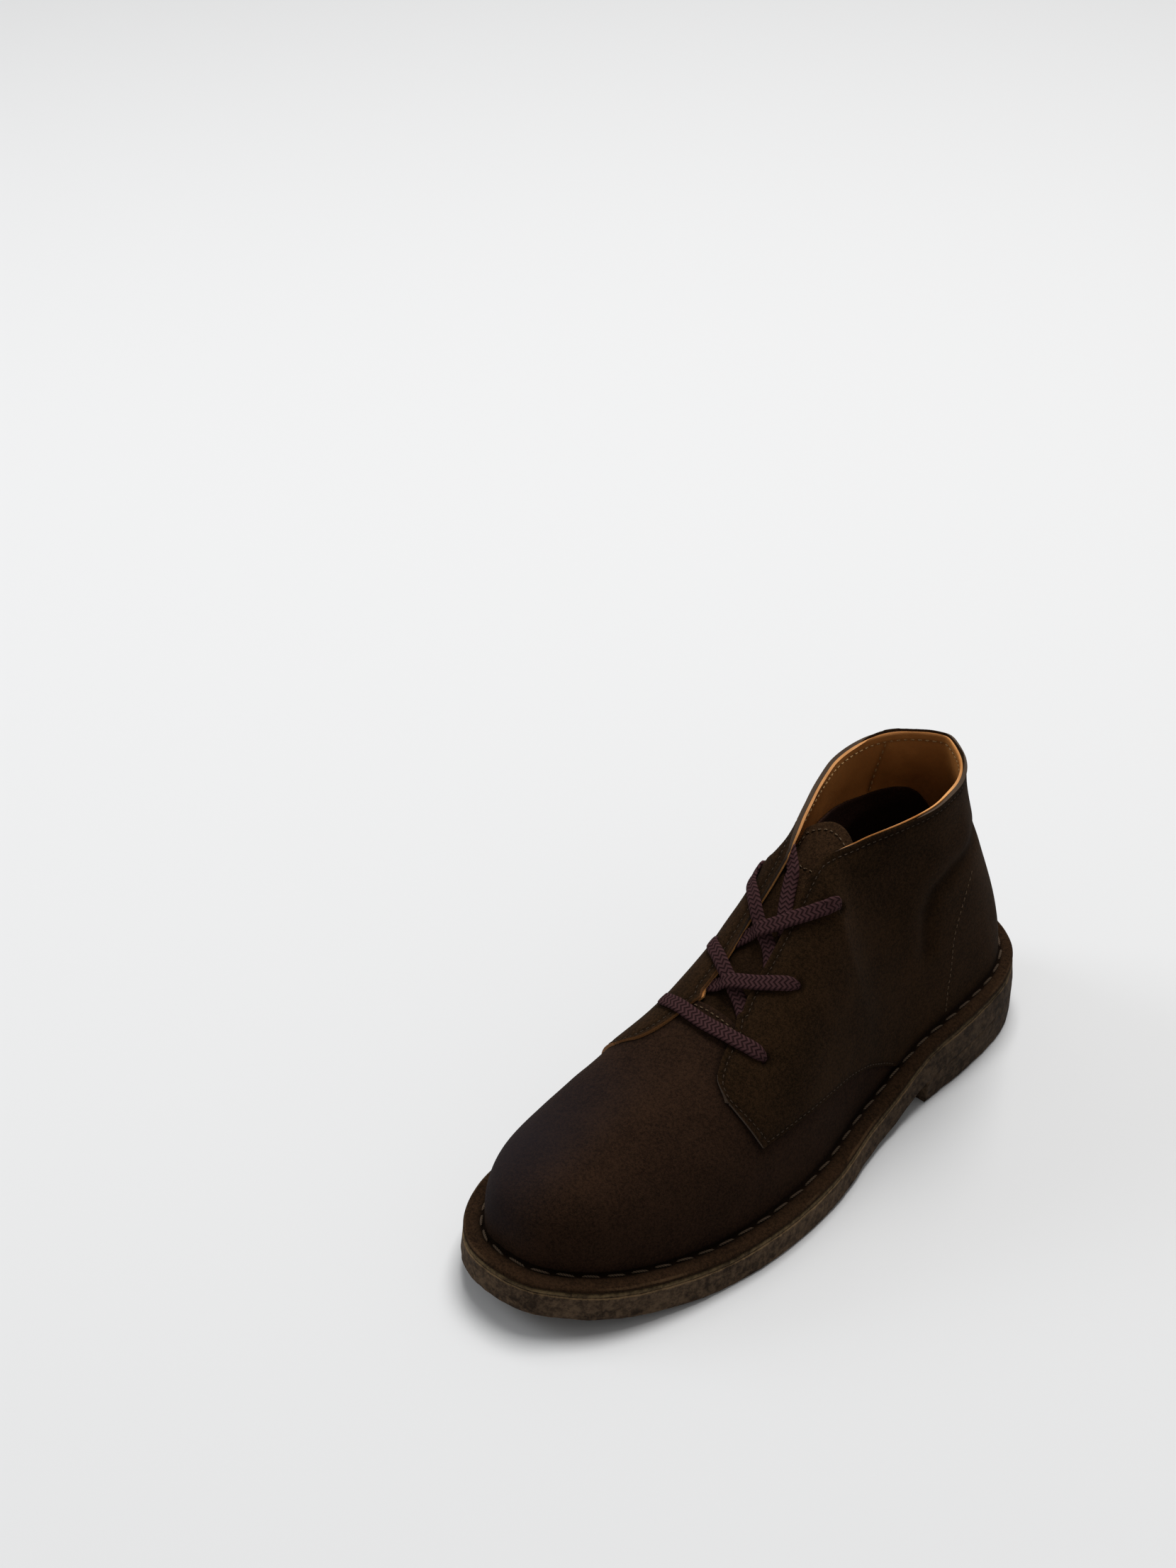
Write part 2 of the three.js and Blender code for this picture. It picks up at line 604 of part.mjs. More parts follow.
// Both quarters as one piece round the heel, standing proud of the vamp layer
function quartersSolid() {
  const shell = new Shell();
  const columns = ['lowAlong', 'lowRise', 'topAlong', 'topRise'];
  const edges = { outer: curvesThrough(outerQuarter, columns), inner: curvesThrough(innerQuarter, columns) };
  const reaches = Array.from({ length: quarterColumns + 1 }, (_, k) => k / quarterColumns);
  const stations = [
    ...reaches.slice().reverse().map((reach) => ({ side: 'outer', reach })),
    ...reaches.slice(1).map((reach) => ({ side: 'inner', reach })),
  ];
  const sink = flangeThickness / 2;
  const layer = (distance) => Array.from({ length: quarterRows }, (_, j) => stations.map(({ side, reach }) => {
    const edge = edges[side];
    const up = j / (quarterRows - 1);
    const share = THREE.MathUtils.lerp(edge.lowAlong(reach), edge.topAlong(reach), up);
    const low = Math.asin(THREE.MathUtils.clamp(edge.lowRise(reach), 0, 1));
    const high = Math.asin(THREE.MathUtils.clamp(edge.topRise(reach), 0, 1));
    const rise = Math.sin(THREE.MathUtils.lerp(low, high, up));
    const place = lastOffset(side, share, rise, distance);
    if (j === 0) place.z -= sink * (1 - THREE.MathUtils.smoothstep(edge.lowRise(reach), 0, 0.1));
    return shell.add(place);
  }));
  const outside = layer(quarterStep);
  const inside = layer(-upperWall * quarterSink);
  shell.skin(outside, false);
  shell.skin(inside.map((row) => row.slice().reverse()), false);
  const rim = (rows) => [
    ...rows[0],
    ...rows.slice(1).map((row) => row[row.length - 1]),
    ...rows[quarterRows - 1].slice(0, -1).reverse(),
    ...rows.slice(1, -1).map((row) => row[0]).reverse(),
  ];
  shell.skin([rim(inside), rim(outside)], true);
  return solidOf(shell.geometry());
}

// Upright cutter for the throat, open into the collar
function throatSolid() {
  const plan = curvesThrough(throatPlan, ['middle', 'half']);
  const edge = (sign) => throatPlan.map((row) => {
    const s = THREE.MathUtils.lerp(throatTop, throatFoot, row.along);
    const x = plan.middle(row.along) * ballWidth + sign * plan.half(row.along) * throatWidth;
    return new THREE.Vector2(x, bootLength / 2 - s);
  });
  const shape = new THREE.Shape([...edge(1), ...edge(-1).reverse()]);
  const floor = instepHeight * throatCutFrom;
  const geometry = new THREE.ExtrudeGeometry(shape, { depth: collarHeight * throatCutTo - floor, bevelEnabled: false });
  geometry.translate(0, 0, floor);
  return solidOf(geometry);
}

// Frame of a place on the upper: its point and its normal, in the boot's frame
function frameAt(side, share, rise, distance) {
  const place = lastOffset(side, share, rise, distance);
  const normal = lastNormal(side, share, rise);
  return {
    point: new THREE.Vector3(place.x, bootLength / 2 - place.y, place.z),
    normal: new THREE.Vector3(normal.x, -normal.y, normal.z),
  };
}

function holeSolid(side, hole) {
  const sides = 12;
  const reach = 3 * (upperWall + quarterStep);
  const { point, normal } = frameAt(side, hole.along, hole.rise, 0);
  const geometry = new THREE.CylinderGeometry(holeDiameter / 2, holeDiameter / 2, reach, sides);
  geometry.applyQuaternion(new THREE.Quaternion().setFromUnitVectors(new THREE.Vector3(0, 1, 0), normal));
  geometry.translate(point.x, point.y, point.z);
  return solidOf(geometry);
}

function upperGeometry() {
  let upper = vampSolid().add(quartersSolid()).subtract(throatSolid());
  for (const side of ['outer', 'inner']) {
    for (const hole of laceHoles) upper = upper.subtract(holeSolid(side, hole));
  }
  return geometryOf(upper);
}

// Tongue: arched across the ridge, its top standing on beyond the throat
function tongueGeometry() {
  const shell = new Shell();
  const acrossSteps = 12;
  const layer = (depth) => tongueRows.map((row) => {
    const crown = lastOffset('outer', row.middle, 1, -depth);
    crown.y -= row.past * ballWidth * Math.cos(tongueLean);
    crown.z += row.past * ballWidth * Math.sin(tongueLean);
    return Array.from({ length: acrossSteps + 1 }, (_, i) => {
      const turn = Math.abs((i / acrossSteps) * 2 - 1);
      const side = i > acrossSteps / 2 ? 'outer' : 'inner';
      if (row.past === 0) {
        const share = THREE.MathUtils.lerp(row.middle, row.edge, turn);
        const rise = Math.cos(Math.acos(row.edgeRise) * turn);
        return shell.add(lastOffset(side, share, rise, -depth));
      }
      const edge = lastOffset(side, row.edge, row.edgeRise, -depth - 2 * seat);
      const place = crown.clone();
      place.x += (edge.x - crown.x) * turn;
      place.y += (edge.y - crown.y) * turn ** 2;
      place.z += (edge.z - crown.z) * turn ** 2;
      return shell.add(place);
    });
  });
  const start = upperWall + 2 * seat;
  const outside = layer(start);
  const inside = layer(start + tongueThickness);
  shell.skin(outside, false);
  shell.skin(inside.map((row) => row.slice().reverse()), false);
  const last = tongueRows.length - 1;
  const rim = (rows) => [
    ...rows[0],
    ...rows.slice(1).map((row) => row[row.length - 1]),
    ...rows[last].slice(0, -1).reverse(),
    ...rows.slice(1, -1).map((row) => row[0]).reverse(),
  ];
  shell.skin([rim(inside), rim(outside)], true);
  return shell.geometry();
}

// The place on the last over a point in plan, found by turns for its rise and for its share of the way
function placeInPlan(x, s) {
  const ridgeOf = (share) => section.ridge(share) * ballWidth;
  let share = s / bootLength;
  let rise = 1;
  let side = 'outer';
  for (let turn = 0; turn < planTurns; turn += 1) {
    side = x > ridgeOf(share) ? 'outer' : 'inner';
    let low = 0;
    let high = 1;
    for (let step = 0; step < planHalvings; step += 1) {
      rise = (low + high) / 2;
      const reach = Math.abs(lastPoint(side, share, rise).x - ridgeOf(share));
      if (reach > Math.abs(x - ridgeOf(share))) low = rise;
      else high = rise;
    }
    const here = lastPoint(side, share, rise).y;
    share = THREE.MathUtils.clamp(share + (s - here) / bootLength, 0, 1);
  }
  return { side, share, rise };
}

// Heights of a strand's middle over the last for the ways that it lies
const laceLift = {
  slot: laceThickness / 2 - upperWall,
  span: laceThickness / 2 + quarterStep,
  over: laceThickness / 2 + quarterStep + 2 * seat,
};

// A flat strand: its plan and lift run smoothly through the knots, and every ring of it lies over the last
function laceStrand(knots) {
  const path = new THREE.CatmullRomCurve3(knots.map((knot) => {
    const lift = laceLift[knot.lie ?? 'over'];
    if (knot.hole === undefined) return new THREE.Vector3(knot.across * ballWidth, knot.along * bootLength, lift);
    const hole = lastPoint(knot.side, laceHoles[knot.hole].along, laceHoles[knot.hole].rise);
    return new THREE.Vector3(hole.x, hole.y, lift);
  }), false, 'centripetal');
  const middles = path.getSpacedPoints(laceSteps).map((knot) => {
    const place = placeInPlan(knot.x, knot.y);
    const up = lastNormal(place.side, place.share, place.rise);
    const point = lastPoint(place.side, place.share, place.rise).addScaledVector(up, knot.z);
    return { point, up };
  });
  const corner = 0.15;
  const section = [[-1, -0.5], [corner - 1, -1], [1 - corner, -1], [1, -0.5],
    [1, 0.5], [1 - corner, 1], [corner - 1, 1], [-1, 0.5]];
  const shell = new Shell();
  const rings = middles.map(({ point, up }, i) => {
    const before = middles[Math.max(i - 1, 0)];
    const after = middles[Math.min(i + 1, laceSteps)];
    const along = after.point.clone().sub(before.point).normalize();
    const across = new THREE.Vector3().crossVectors(along, before.up.clone().add(up).add(after.up)).normalize();
    const upright = new THREE.Vector3().crossVectors(across, along);
    return section.map(([w, h]) => shell.add(point.clone()
      .addScaledVector(across, w * laceWidth / 2)
      .addScaledVector(upright, h * laceThickness / 2)));
  });
  shell.skin(rings, true);
  for (const [ring, flip] of [[rings[0], true], [rings[laceSteps], false]]) {
    for (let k = 1; k < ring.length - 1; k += 1) {
      if (flip) shell.triangle(ring[0], ring[k + 1], ring[k]);
      else shell.triangle(ring[0], ring[k], ring[k + 1]);
    }
  }
  return shell.geometry();
}

// Strands of one row that cross are one solid
function laceGeometry(strands) {
  return geometryOf(strands.map((knots) => solidOf(laceStrand(knots))).reduce((all, one) => all.add(one)));
}

const boot = new THREE.Group();
const plan = outline.map((point) => point.x);
const sideways = (Math.max(...plan) + Math.min(...plan)) / 2;

// Every piece is moved so that the sole is centred sideways
function addPiece(name, geometry, color, roughness) {
  geometry.translate(-sideways, 0, 0);
  const mesh = new THREE.Mesh(geometry, new THREE.MeshStandardMaterial({ color, roughness, metalness: 0 }));
  mesh.name = name;
  boot.add(mesh);
}

addPiece('outsole', outsoleGeometry(), 0x4a3a28, 0.95);
addPiece('heel', heelGeometry(), 0x46362a, 0.95);
addPiece('midsole', midsoleGeometry(), 0x8a7450, 0.85);
addPiece('insole', insoleGeometry(), 0x2c1d18, 0.9);
addPiece('upper', upperGeometry(), 0x35261d, 0.95);
addPiece('tongue', tongueGeometry(), 0x33241c, 0.95);
for (const [name, strands] of Object.entries(laceRows)) addPiece(name, laceGeometry(strands), 0x2b1c1a, 0.85);

export default boot;
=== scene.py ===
"""The looks of a left desert boot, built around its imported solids.

Lengths in this file are millimetres until a mesh is made, which is in metres. The frame is the part's own:
+Z up, the toe towards -Y and the outer side of the foot towards +X. "Along" or s runs from the back of the
heel to the toe. A place on the upper is a side (+1 outer, -1 inner), a share of the way along that side and a
rise from the flange (0) to the collar or the ridge (1), the same function as in the part's source.
"""

import logging
import math
from dataclasses import dataclass, field
from enum import Enum

import bmesh
import bpy
import numpy as np
from mathutils import Matrix, Vector


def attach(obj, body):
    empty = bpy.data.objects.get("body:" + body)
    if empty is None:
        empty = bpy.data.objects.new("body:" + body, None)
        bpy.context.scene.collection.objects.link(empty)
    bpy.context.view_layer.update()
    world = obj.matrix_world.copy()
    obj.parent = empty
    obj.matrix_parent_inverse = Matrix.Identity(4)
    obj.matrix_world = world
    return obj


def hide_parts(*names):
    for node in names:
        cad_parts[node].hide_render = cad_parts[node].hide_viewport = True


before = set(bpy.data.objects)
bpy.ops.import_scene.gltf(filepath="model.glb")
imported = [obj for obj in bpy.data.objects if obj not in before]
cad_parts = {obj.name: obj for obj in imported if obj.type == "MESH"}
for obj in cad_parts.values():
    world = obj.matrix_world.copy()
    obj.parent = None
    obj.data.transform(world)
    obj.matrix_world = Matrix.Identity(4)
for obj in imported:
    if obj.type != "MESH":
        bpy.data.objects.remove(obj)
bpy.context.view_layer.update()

log = logging.getLogger("desert_boot")
logging.basicConfig(level=logging.INFO, format="%(message)s")

# metres in a millimetre
METRE = 0.001
OUTER = 1
INNER = -1
# millimetres under which the points of a stitch are merged
STITCH_MERGE = 0.004
# metres under which an edge has no length
NO_LENGTH = 1e-7
# more millimetres than lie between any two places of the boot
FAR = 1e3

Colour = tuple[float, float, float]
Pair = tuple[np.ndarray, np.ndarray]


class Slot(Enum):
    """Material slots."""

    CREPE = "crepe"
    MIDSOLE = "midsole"
    INSOLE = "insole"
    SUEDE = "suede"
    LACE = "lace"


def smooth(value: np.ndarray, low: float, high: float) -> np.ndarray:
    """Smooth step: 0 up to low, 1 from high, 3t^2 - 2t^3 between."""
    t = np.clip((np.asarray(value, float) - low) / (high - low), 0, 1)
    return t * t * (3 - 2 * t)


def monotone(knots: np.ndarray, values: np.ndarray, at: np.ndarray) -> np.ndarray:
    """Monotone cubic through the rows of a table.

    Args:
        knots: places of the rows, growing.
        values: values of the rows.
        at: places to work out.

    Returns:
        The curve's values: a cubic Hermite curve whose slopes are the weighted harmonic means of the chords'.
    """
    x = np.asarray(knots, float)
    y = np.asarray(values, float)
    step = np.diff(x)
    chord = np.diff(y) / step
    slope = np.zeros(len(x))
    before = 2 * step[1:] + step[:-1]
    after = step[1:] + 2 * step[:-1]
    same = chord[:-1] * chord[1:] > 0
    safe0 = np.where(same, chord[:-1], 1)
    safe1 = np.where(same, chord[1:], 1)
    slope[1:-1] = np.where(same, (before + after) / (before / safe0 + after / safe1), 0)
    slope[0] = chord[0]
    slope[-1] = chord[-1]
    q = np.clip(at, x[0], x[-1])
    k = np.clip(np.searchsorted(x, q, side="right") - 1, 0, len(x) - 2)
    t = (q - x[k]) / step[k]
    return (y[k] * (1 + 2 * t) * (1 - t) ** 2 + step[k] * slope[k] * t * (1 - t) ** 2
            + y[k + 1] * t * t * (3 - 2 * t) + step[k] * slope[k + 1] * t * t * (t - 1))


def natural(knots: np.ndarray, values: np.ndarray, at: np.ndarray) -> np.ndarray:
    """Natural cubic spline through the rows of a table, level with its last rows beyond them.

    Args:
        knots: places of the rows, growing.
        values: values of the rows.
        at: places to work out.

    Returns:
        The spline's values, from the bends at the rows that make its slope and bend steady.
    """
    x = np.asarray(knots, float)
    y = np.asarray(values, float)
    step = np.diff(x)
    chord = np.diff(y) / step
    inner = np.arange(1, len(x) - 1)
    system = np.eye(len(x))
    system[inner, inner - 1] = step[:-1]
    system[inner, inner] = 2 * (step[:-1] + step[1:])
    system[inner, inner + 1] = step[1:]
    right = np.zeros(len(x))
    right[inner] = 6 * np.diff(chord)
    bend = np.linalg.solve(system, right)
    q = np.clip(at, x[0], x[-1])
    k = np.clip(np.searchsorted(x, q, side="right") - 1, 0, len(x) - 2)
    a = x[k + 1] - q
    b = q - x[k]
    return ((bend[k] * a ** 3 + bend[k + 1] * b ** 3) / (6 * step[k])
            + (y[k] / step[k] - bend[k] * step[k] / 6) * a
            + (y[k + 1] / step[k] - bend[k + 1] * step[k] / 6) * b)


def unit(vectors: np.ndarray) -> np.ndarray:
    """The vectors at length one."""
    return vectors / (np.linalg.norm(vectors, axis=-1, keepdims=True) + 1e-12)


def walked(points: np.ndarray) -> np.ndarray:
    """Distance walked up to each point, along the first axis of a line or a grid of points."""
    steps = np.linalg.norm(np.diff(points, axis=0), axis=-1)
    return np.concatenate([np.zeros((1, *steps.shape[1:])), np.cumsum(steps, axis=0)])


def averaged(values: np.ndarray, width: int) -> np.ndarray:
    """Running means of an odd number of values, the end ones repeated beyond the ends."""
    half = width // 2
    padded = np.concatenate([np.full(half, values[0]), values, np.full(half, values[-1])])
    return np.convolve(padded, np.ones(width) / width, "valid")


def lattice_noise(points: np.ndarray, cell: float, seed: int) -> np.ndarray:
    """Smooth random values from -1 to 1.

    Args:
        points: places, the last axis being x, y, z.
        cell: distance over which the values change.
        seed: picks the pattern.

    Returns:
        One value a place: random numbers at the corners of a cubic lattice, blended by smooth steps.
    """
    size = 32
    table = np.random.default_rng(seed).uniform(-1, 1, (size, size, size))
    q = np.asarray(points) / cell
    base = np.floor(q).astype(int)
    t = q - base
    t = t * t * (3 - 2 * t)
    total = np.zeros(q.shape[:-1])
    for corner in range(8):
        pick = [(corner >> axis) & 1 for axis in range(3)]
        weight = np.prod([t[..., axis] if pick[axis] else 1 - t[..., axis] for axis in range(3)], axis=0)
        index = [(base[..., axis] + pick[axis]) % size for axis in range(3)]
        total += weight * table[index[0], index[1], index[2]]
    return total


class Last:
    """The surface that the upper, the tongue and the lace follow."""

    LENGTH = 300.0
    BALL = 105.7
    COLLAR = 138.4
    INSTEP = 85.0
    SETBACK = 30.0
    TOE_DEPTH = 19.0
    TOE_CROWN = 0.985
    TOE_POWER = 3.05
    FLANGE = 8.6
    HEEL_FLANGE = 8.1
    SEAT = 0.3
    FLANGE_RISE = 2.0
    TIP = -0.0795
    COLLAR_ROWS = 11
    COLLAR_CROWN = 0.07
    # where the flange starts to widen, and over how long a way
    WIDENING = (20.0, 80.0)
    # turns for the share and halvings for the rise when a place is looked for
    TURNS = 14
    HALVINGS = 24

    # along, outer and inner half widths as shares of the length and the ball width
    SOLE = np.array([
        (0.0133, 0.133, 0.150), (0.0467, 0.267, 0.279), (0.1067, 0.360, 0.361), (0.2, 0.398, 0.3765),
        (0.3167, 0.401, 0.3425), (0.4333, 0.432, 0.336), (0.55, 0.4995, 0.399), (0.6667, 0.512, 0.472),
        (0.7667, 0.470, 0.488), (0.8533, 0.3945, 0.462), (0.92, 0.298, 0.396), (0.9667, 0.179, 0.300),
        (0.9917, 0.074, 0.198)])
    # along as a share of the length, height of the midsole's top
    TOP = np.array([
        (0, 27.7), (0.183, 27.31), (0.283, 25.8), (0.4, 16.79), (0.5, 14.4), (0.617, 13.1), (0.75, 13.1),
        (0.833, 15.4), (0.933, 19.67), (1, 23.7)])
    # along, height, ridge, collar, front, fullness
    SECTIONS = np.array([
        (0, COLLAR, -0.005, 0.53, 0, 2.55), (0.05, COLLAR, -0.005, 0.69, 0, 2.55),
        (0.13, COLLAR, -0.005, 0.76, 0, 2.55), (0.18, 0.997 * COLLAR, -0.005, 0.755, 0, 2.55),
        (0.225, 0.994 * COLLAR, -0.003, 0.69, 0.12, 2.55), (0.275, 0.989 * COLLAR, -0.001, 0.59, 0.3, 2.55),
        (0.31, 0.982 * COLLAR, 0, 0.49, 0.46, 2.55), (0.34, 0.971 * COLLAR, 0.001, 0.4, 0.6, 2.55),
        (0.37, 0.957 * COLLAR, 0.003, 0.295, 0.73, 2.55), (0.395, 0.933 * COLLAR, 0.004, 0.185, 0.86, 2.55),
        (0.415, 1.473 * INSTEP, 0.005, 0, 0.97, 2.55), (0.435, 1.41 * INSTEP, 0.006, 0, 1, 2.55),
        (0.467, 1.32 * INSTEP, 0.007, 0, 1, 2.55), (0.5, 1.225 * INSTEP, 0.0075, 0, 1, 2.5),
        (0.55, 1.1 * INSTEP, 0.0075, 0, 1, 2.5), (0.6, INSTEP, 0.0075, 0, 1, 2.45),
        (0.66, 0.912 * INSTEP, 0.002, 0, 1, 2.4), (0.73, 0.832 * INSTEP, -0.014, 0, 1, 2.4),
        (0.82, 0.76 * INSTEP, -0.038, 0, 1, 2.4), (0.91, 0.687 * INSTEP, -0.059, 0, 1, 2.7),
        (1, 0.618 * INSTEP, -0.076, 0, 1, 3.05)])

    def __init__(self, per_span: int = 32) -> None:
        """Works out the outline and the feather line.

        Args:
            per_span: samples between two rows of the sole's table.
        """
        self.outline = self._closed_curve(per_span)
        self.middle = (self.outline[:, 0].max() + self.outline[:, 0].min()) / 2
        tangent = np.roll(self.outline, -1, 0) - np.roll(self.outline, 1, 0)
        self.out = unit(np.stack([tangent[:, 1], -tangent[:, 0]], 1))
        start, stretch = self.WIDENING
        widening = np.clip((self.outline[:, 1] - start) / stretch, 0, 1)
        width = self.HEEL_FLANGE + (self.FLANGE - self.HEEL_FLANGE) * widening
        self.feather = self.outline - self.out * width[:, None]
        s = self.feather[:, 1]
        self.back = s.min()
        self.front = s.max()
        share = (s - self.back) / (self.front - self.back)
        heel = int(s.argmin())
        toe = int(s.argmax())
        around = np.arange(len(s))
        outer = (heel + around)[: (toe - heel) % len(s) + 1] % len(s)
        inner = (heel - around)[: (heel - toe) % len(s) + 1] % len(s)
        self._walks = {OUTER: (share[outer], self.feather[outer, 0]),
                       INNER: (share[inner], self.feather[inner, 0])}

    def _closed_curve(self, per_span: int) -> np.ndarray:
        """Closed centripetal Catmull-Rom curve through the sole's table.

        Args:
            per_span: samples between two rows of the table.

        Returns:
            x and s of its points, from the back of the heel round the outer side.
        """
        rows = self.SOLE
        outer = np.stack([rows[:, 1] * self.BALL, rows[:, 0] * self.LENGTH], 1)
        inner = np.stack([-rows[::-1, 2] * self.BALL, rows[::-1, 0] * self.LENGTH], 1)
        points = np.vstack([[(0, 0)], outer, [(self.TIP * self.BALL, self.LENGTH)], inner])
        before, after, beyond = np.roll(points, 1, 0), np.roll(points, -1, 0), np.roll(points, -2, 0)
        a = np.sqrt(np.linalg.norm(points - before, axis=1))[:, None]
        b = np.sqrt(np.linalg.norm(after - points, axis=1))[:, None]
        c = np.sqrt(np.linalg.norm(beyond - after, axis=1))[:, None]
        leave = ((points - before) / a - (after - before) / (a + b) + (after - points) / b) * b
        arrive = ((after - points) / b - (beyond - points) / (b + c) + (beyond - after) / c) * b
        t = (np.arange(per_span) / per_span)[None, :, None]
        spans = ((2 * t ** 3 - 3 * t ** 2 + 1) * points[:, None] + (t ** 3 - 2 * t ** 2 + t) * leave[:, None]
                 + (3 * t ** 2 - 2 * t ** 3) * after[:, None] + (t ** 3 - t ** 2) * arrive[:, None])
        return spans.reshape(-1, 2)

    def midsole_top(self, s: np.ndarray) -> np.ndarray:
        """Height of the midsole's top at s."""
        return monotone(self.TOP[:, 0] * self.LENGTH, self.TOP[:, 1], s)

    def raised(self, plan: np.ndarray, height: np.ndarray | float) -> np.ndarray:
        """Points of the boot's frame over places in plan, x and s, at a height."""
        level = np.broadcast_to(height, plan.shape[:1])
        return np.stack([plan[:, 0] - self.middle, self.LENGTH / 2 - plan[:, 1], level], 1)

    def leg(self, rise: np.ndarray) -> np.ndarray:
        """How far the leg's wall has still to lean in at a rise."""
        return 1 - 0.6 * (1 - np.cos(np.pi * rise)) / 2 - 0.4 * rise ** 1.15

    def place(self, side: np.ndarray, share: np.ndarray, rise: np.ndarray) -> np.ndarray:
        """Points of the surface.

        Args:
            side: OUTER or INNER.
            share: share of the way along that side.
            rise: share of the rise from the flange to the top.

        Returns:
            x, y, z in the boot's frame: the wall leans in by the leg's curve at the heel and by the
            superellipse (1 - rise^n)^(1/n) at the foot, and its ends curve in at the heel and the toe.
        """
        side, share, rise = np.broadcast_arrays(side, np.asarray(share, float), np.asarray(rise, float))
        outer, inner = (np.interp(share, *self._walks[which]) for which in (OUTER, INNER))
        foot = np.where(side > 0, outer, inner)
        table = self.SECTIONS
        height, ridge, front, power = (monotone(table[:, 0], table[:, c], share) for c in (1, 2, 4, 5))
        rows = self.COLLAR_ROWS
        collar = natural(table[:rows, 0], table[:rows, 3], share)
        # short of its own crown the arch meets the collar upright, and the collar gives up what is left
        crown = 1 - self.COLLAR_CROWN * (1 - smooth(share, 0.31, 0.40))
        left = front * (1 - crown ** power) ** (1 / power)
        collar = (collar - left) / (1 - left)
        arch = np.maximum(1 - (rise * crown) ** power, 0) ** (1 / power)
        inward = (1 - front) * self.leg(rise) + front * arch
        middle = ridge * self.BALL
        x = middle + (foot - middle) * (collar + (1 - collar) * inward)
        toe_arch = np.maximum(1 - (rise * self.TOE_CROWN) ** self.TOE_POWER, 0) ** (1 / self.TOE_POWER)
        back = self.back + self.SETBACK * (1 - self.leg(rise))
        toe = self.front - self.TOE_DEPTH * (1 - toe_arch)
        s = back + (toe - back) * share
        base = self.midsole_top(self.back + (self.front - self.back) * share) + self.SEAT + self.FLANGE_RISE
        z = base + (height - base) * rise
        return np.stack([x - self.middle, self.LENGTH / 2 - s, z], -1)

    def normal(self, side: np.ndarray, share: np.ndarray, rise: np.ndarray) -> np.ndarray:
        """Unit vectors out of the surface, by differences along the side and up.

        Args:
            side: OUTER or INNER.
            share: share of the way along that side.
            rise: share of the rise.

        Returns:
            One vector a place.
        """
        step = 0.004
        a = np.clip(share, step, 1 - step)
        r = np.clip(rise, step, 1 - 3 * step)
        along = self.place(side, a + step, r) - self.place(side, a - step, r)
        up = self.place(side, a, r + step) - self.place(side, a, r - step)
        out = unit(np.cross(up, along))
        return out * np.broadcast_to(side, out.shape[:-1])[..., None]

    def find(self, x: np.ndarray, s: np.ndarray) -> tuple[np.ndarray, np.ndarray, np.ndarray]:
        """Side, share and rise over points in plan, by halving for the rise and turns for the share.

        Args:
            x: sideways places from the heel's axis.
            s: places along the boot.

        Returns:
            side, share and rise, so that place() stands over the point.
        """
        x = np.asarray(x, float) - self.middle
        y = self.LENGTH / 2 - np.asarray(s, float)
        share = np.asarray(s, float) / self.LENGTH
        rise = np.ones_like(share)
        side = np.ones_like(share)
        for _ in range(self.TURNS):
            ridge = monotone(self.SECTIONS[:, 0], self.SECTIONS[:, 2], share) * self.BALL - self.middle
            side = np.where(x > ridge, OUTER, INNER)
            low = np.zeros_like(share)
            high = np.ones_like(share)
            for _ in range(self.HALVINGS):
                rise = (low + high) / 2
                wide = np.abs(self.place(side, share, rise)[..., 0] - ridge) > np.abs(x - ridge)
                low = np.where(wide, rise, low)
                high = np.where(wide, high, rise)
            share = np.clip(share + (self.place(side, share, rise)[..., 1] - y) / self.LENGTH, 0, 1)
        return side, share, rise


def grid_normals(points: np.ndarray) -> np.ndarray:
    """Unit normals of a grid of points, the cross product of its two directions."""
    down = np.gradient(points, axis=0)
    across = np.gradient(points, axis=1)
    return unit(np.cross(across, down))


class Sheet:
    """Grids of points gathered into one mesh, with values at the vertices."""

    def __init__(self, name: str) -> None:
        """Starts an empty mesh of that name."""
        self.name = name
        self.points: list[np.ndarray] = []
        self.faces: list[np.ndarray] = []
        self.values: dict[str, list[np.ndarray]] = {}
        self.count = 0

    def grid(self, points: np.ndarray, around: bool = False, flip: bool = False,
             **values: np.ndarray | float) -> None:
        """Adds a grid of quads.

        Args:
            points: rows x columns x 3, in millimetres.
            around: joins the last column to the first.
            flip: turns the faces over.
            values: named numbers at the vertices, rows x columns or what spreads to that.
        """
        rows, columns = points.shape[:2]
        number = np.arange(rows * columns).reshape(rows, columns) + self.count
        right = np.roll(number, -1, 1) if around else number[:, 1:]
        left = number if around else number[:, :-1]
        quads = np.stack([left[:-1], right[:-1], right[1:], left[1:]], -1).reshape(-1, 4)
        self.faces.append(quads[:, ::-1] if flip else quads)
        self.points.append(points.reshape(-1, 3))
        for key, value in values.items():
            full = np.broadcast_to(value, (rows, columns)).reshape(-1)
            self.values.setdefault(key, []).append(full)
        self.count += rows * columns

    def build(self, merge: float = 0.02) -> bpy.types.Object:
        """Makes the mesh and its object, in metres and shaded smooth.

        Args:
            merge: distance in millimetres under which points are merged.

        Returns:
            The object, linked to the scene.
        """
        vertices = np.vstack(self.points) * METRE
        faces = np.vstack(self.faces)
        mesh = bpy.data.meshes.new(self.name)
        mesh.from_pydata(vertices.tolist(), [], faces.tolist())
        for key, parts in self.values.items():
            data = np.concatenate(parts).astype(np.float32)
            layer = mesh.attributes.new(key, "FLOAT", "POINT")
            layer.data.foreach_set("value", data)
        bm = bmesh.new()
        bm.from_mesh(mesh)
        bmesh.ops.remove_doubles(bm, verts=bm.verts, dist=merge * METRE)
        bmesh.ops.dissolve_degenerate(bm, edges=bm.edges, dist=NO_LENGTH)
        bm.to_mesh(mesh)
        bm.free()
        mesh.validate()
        mesh.shade_smooth()
        made = bpy.data.objects.new(self.name, mesh)
        bpy.context.scene.collection.objects.link(made)
        return made


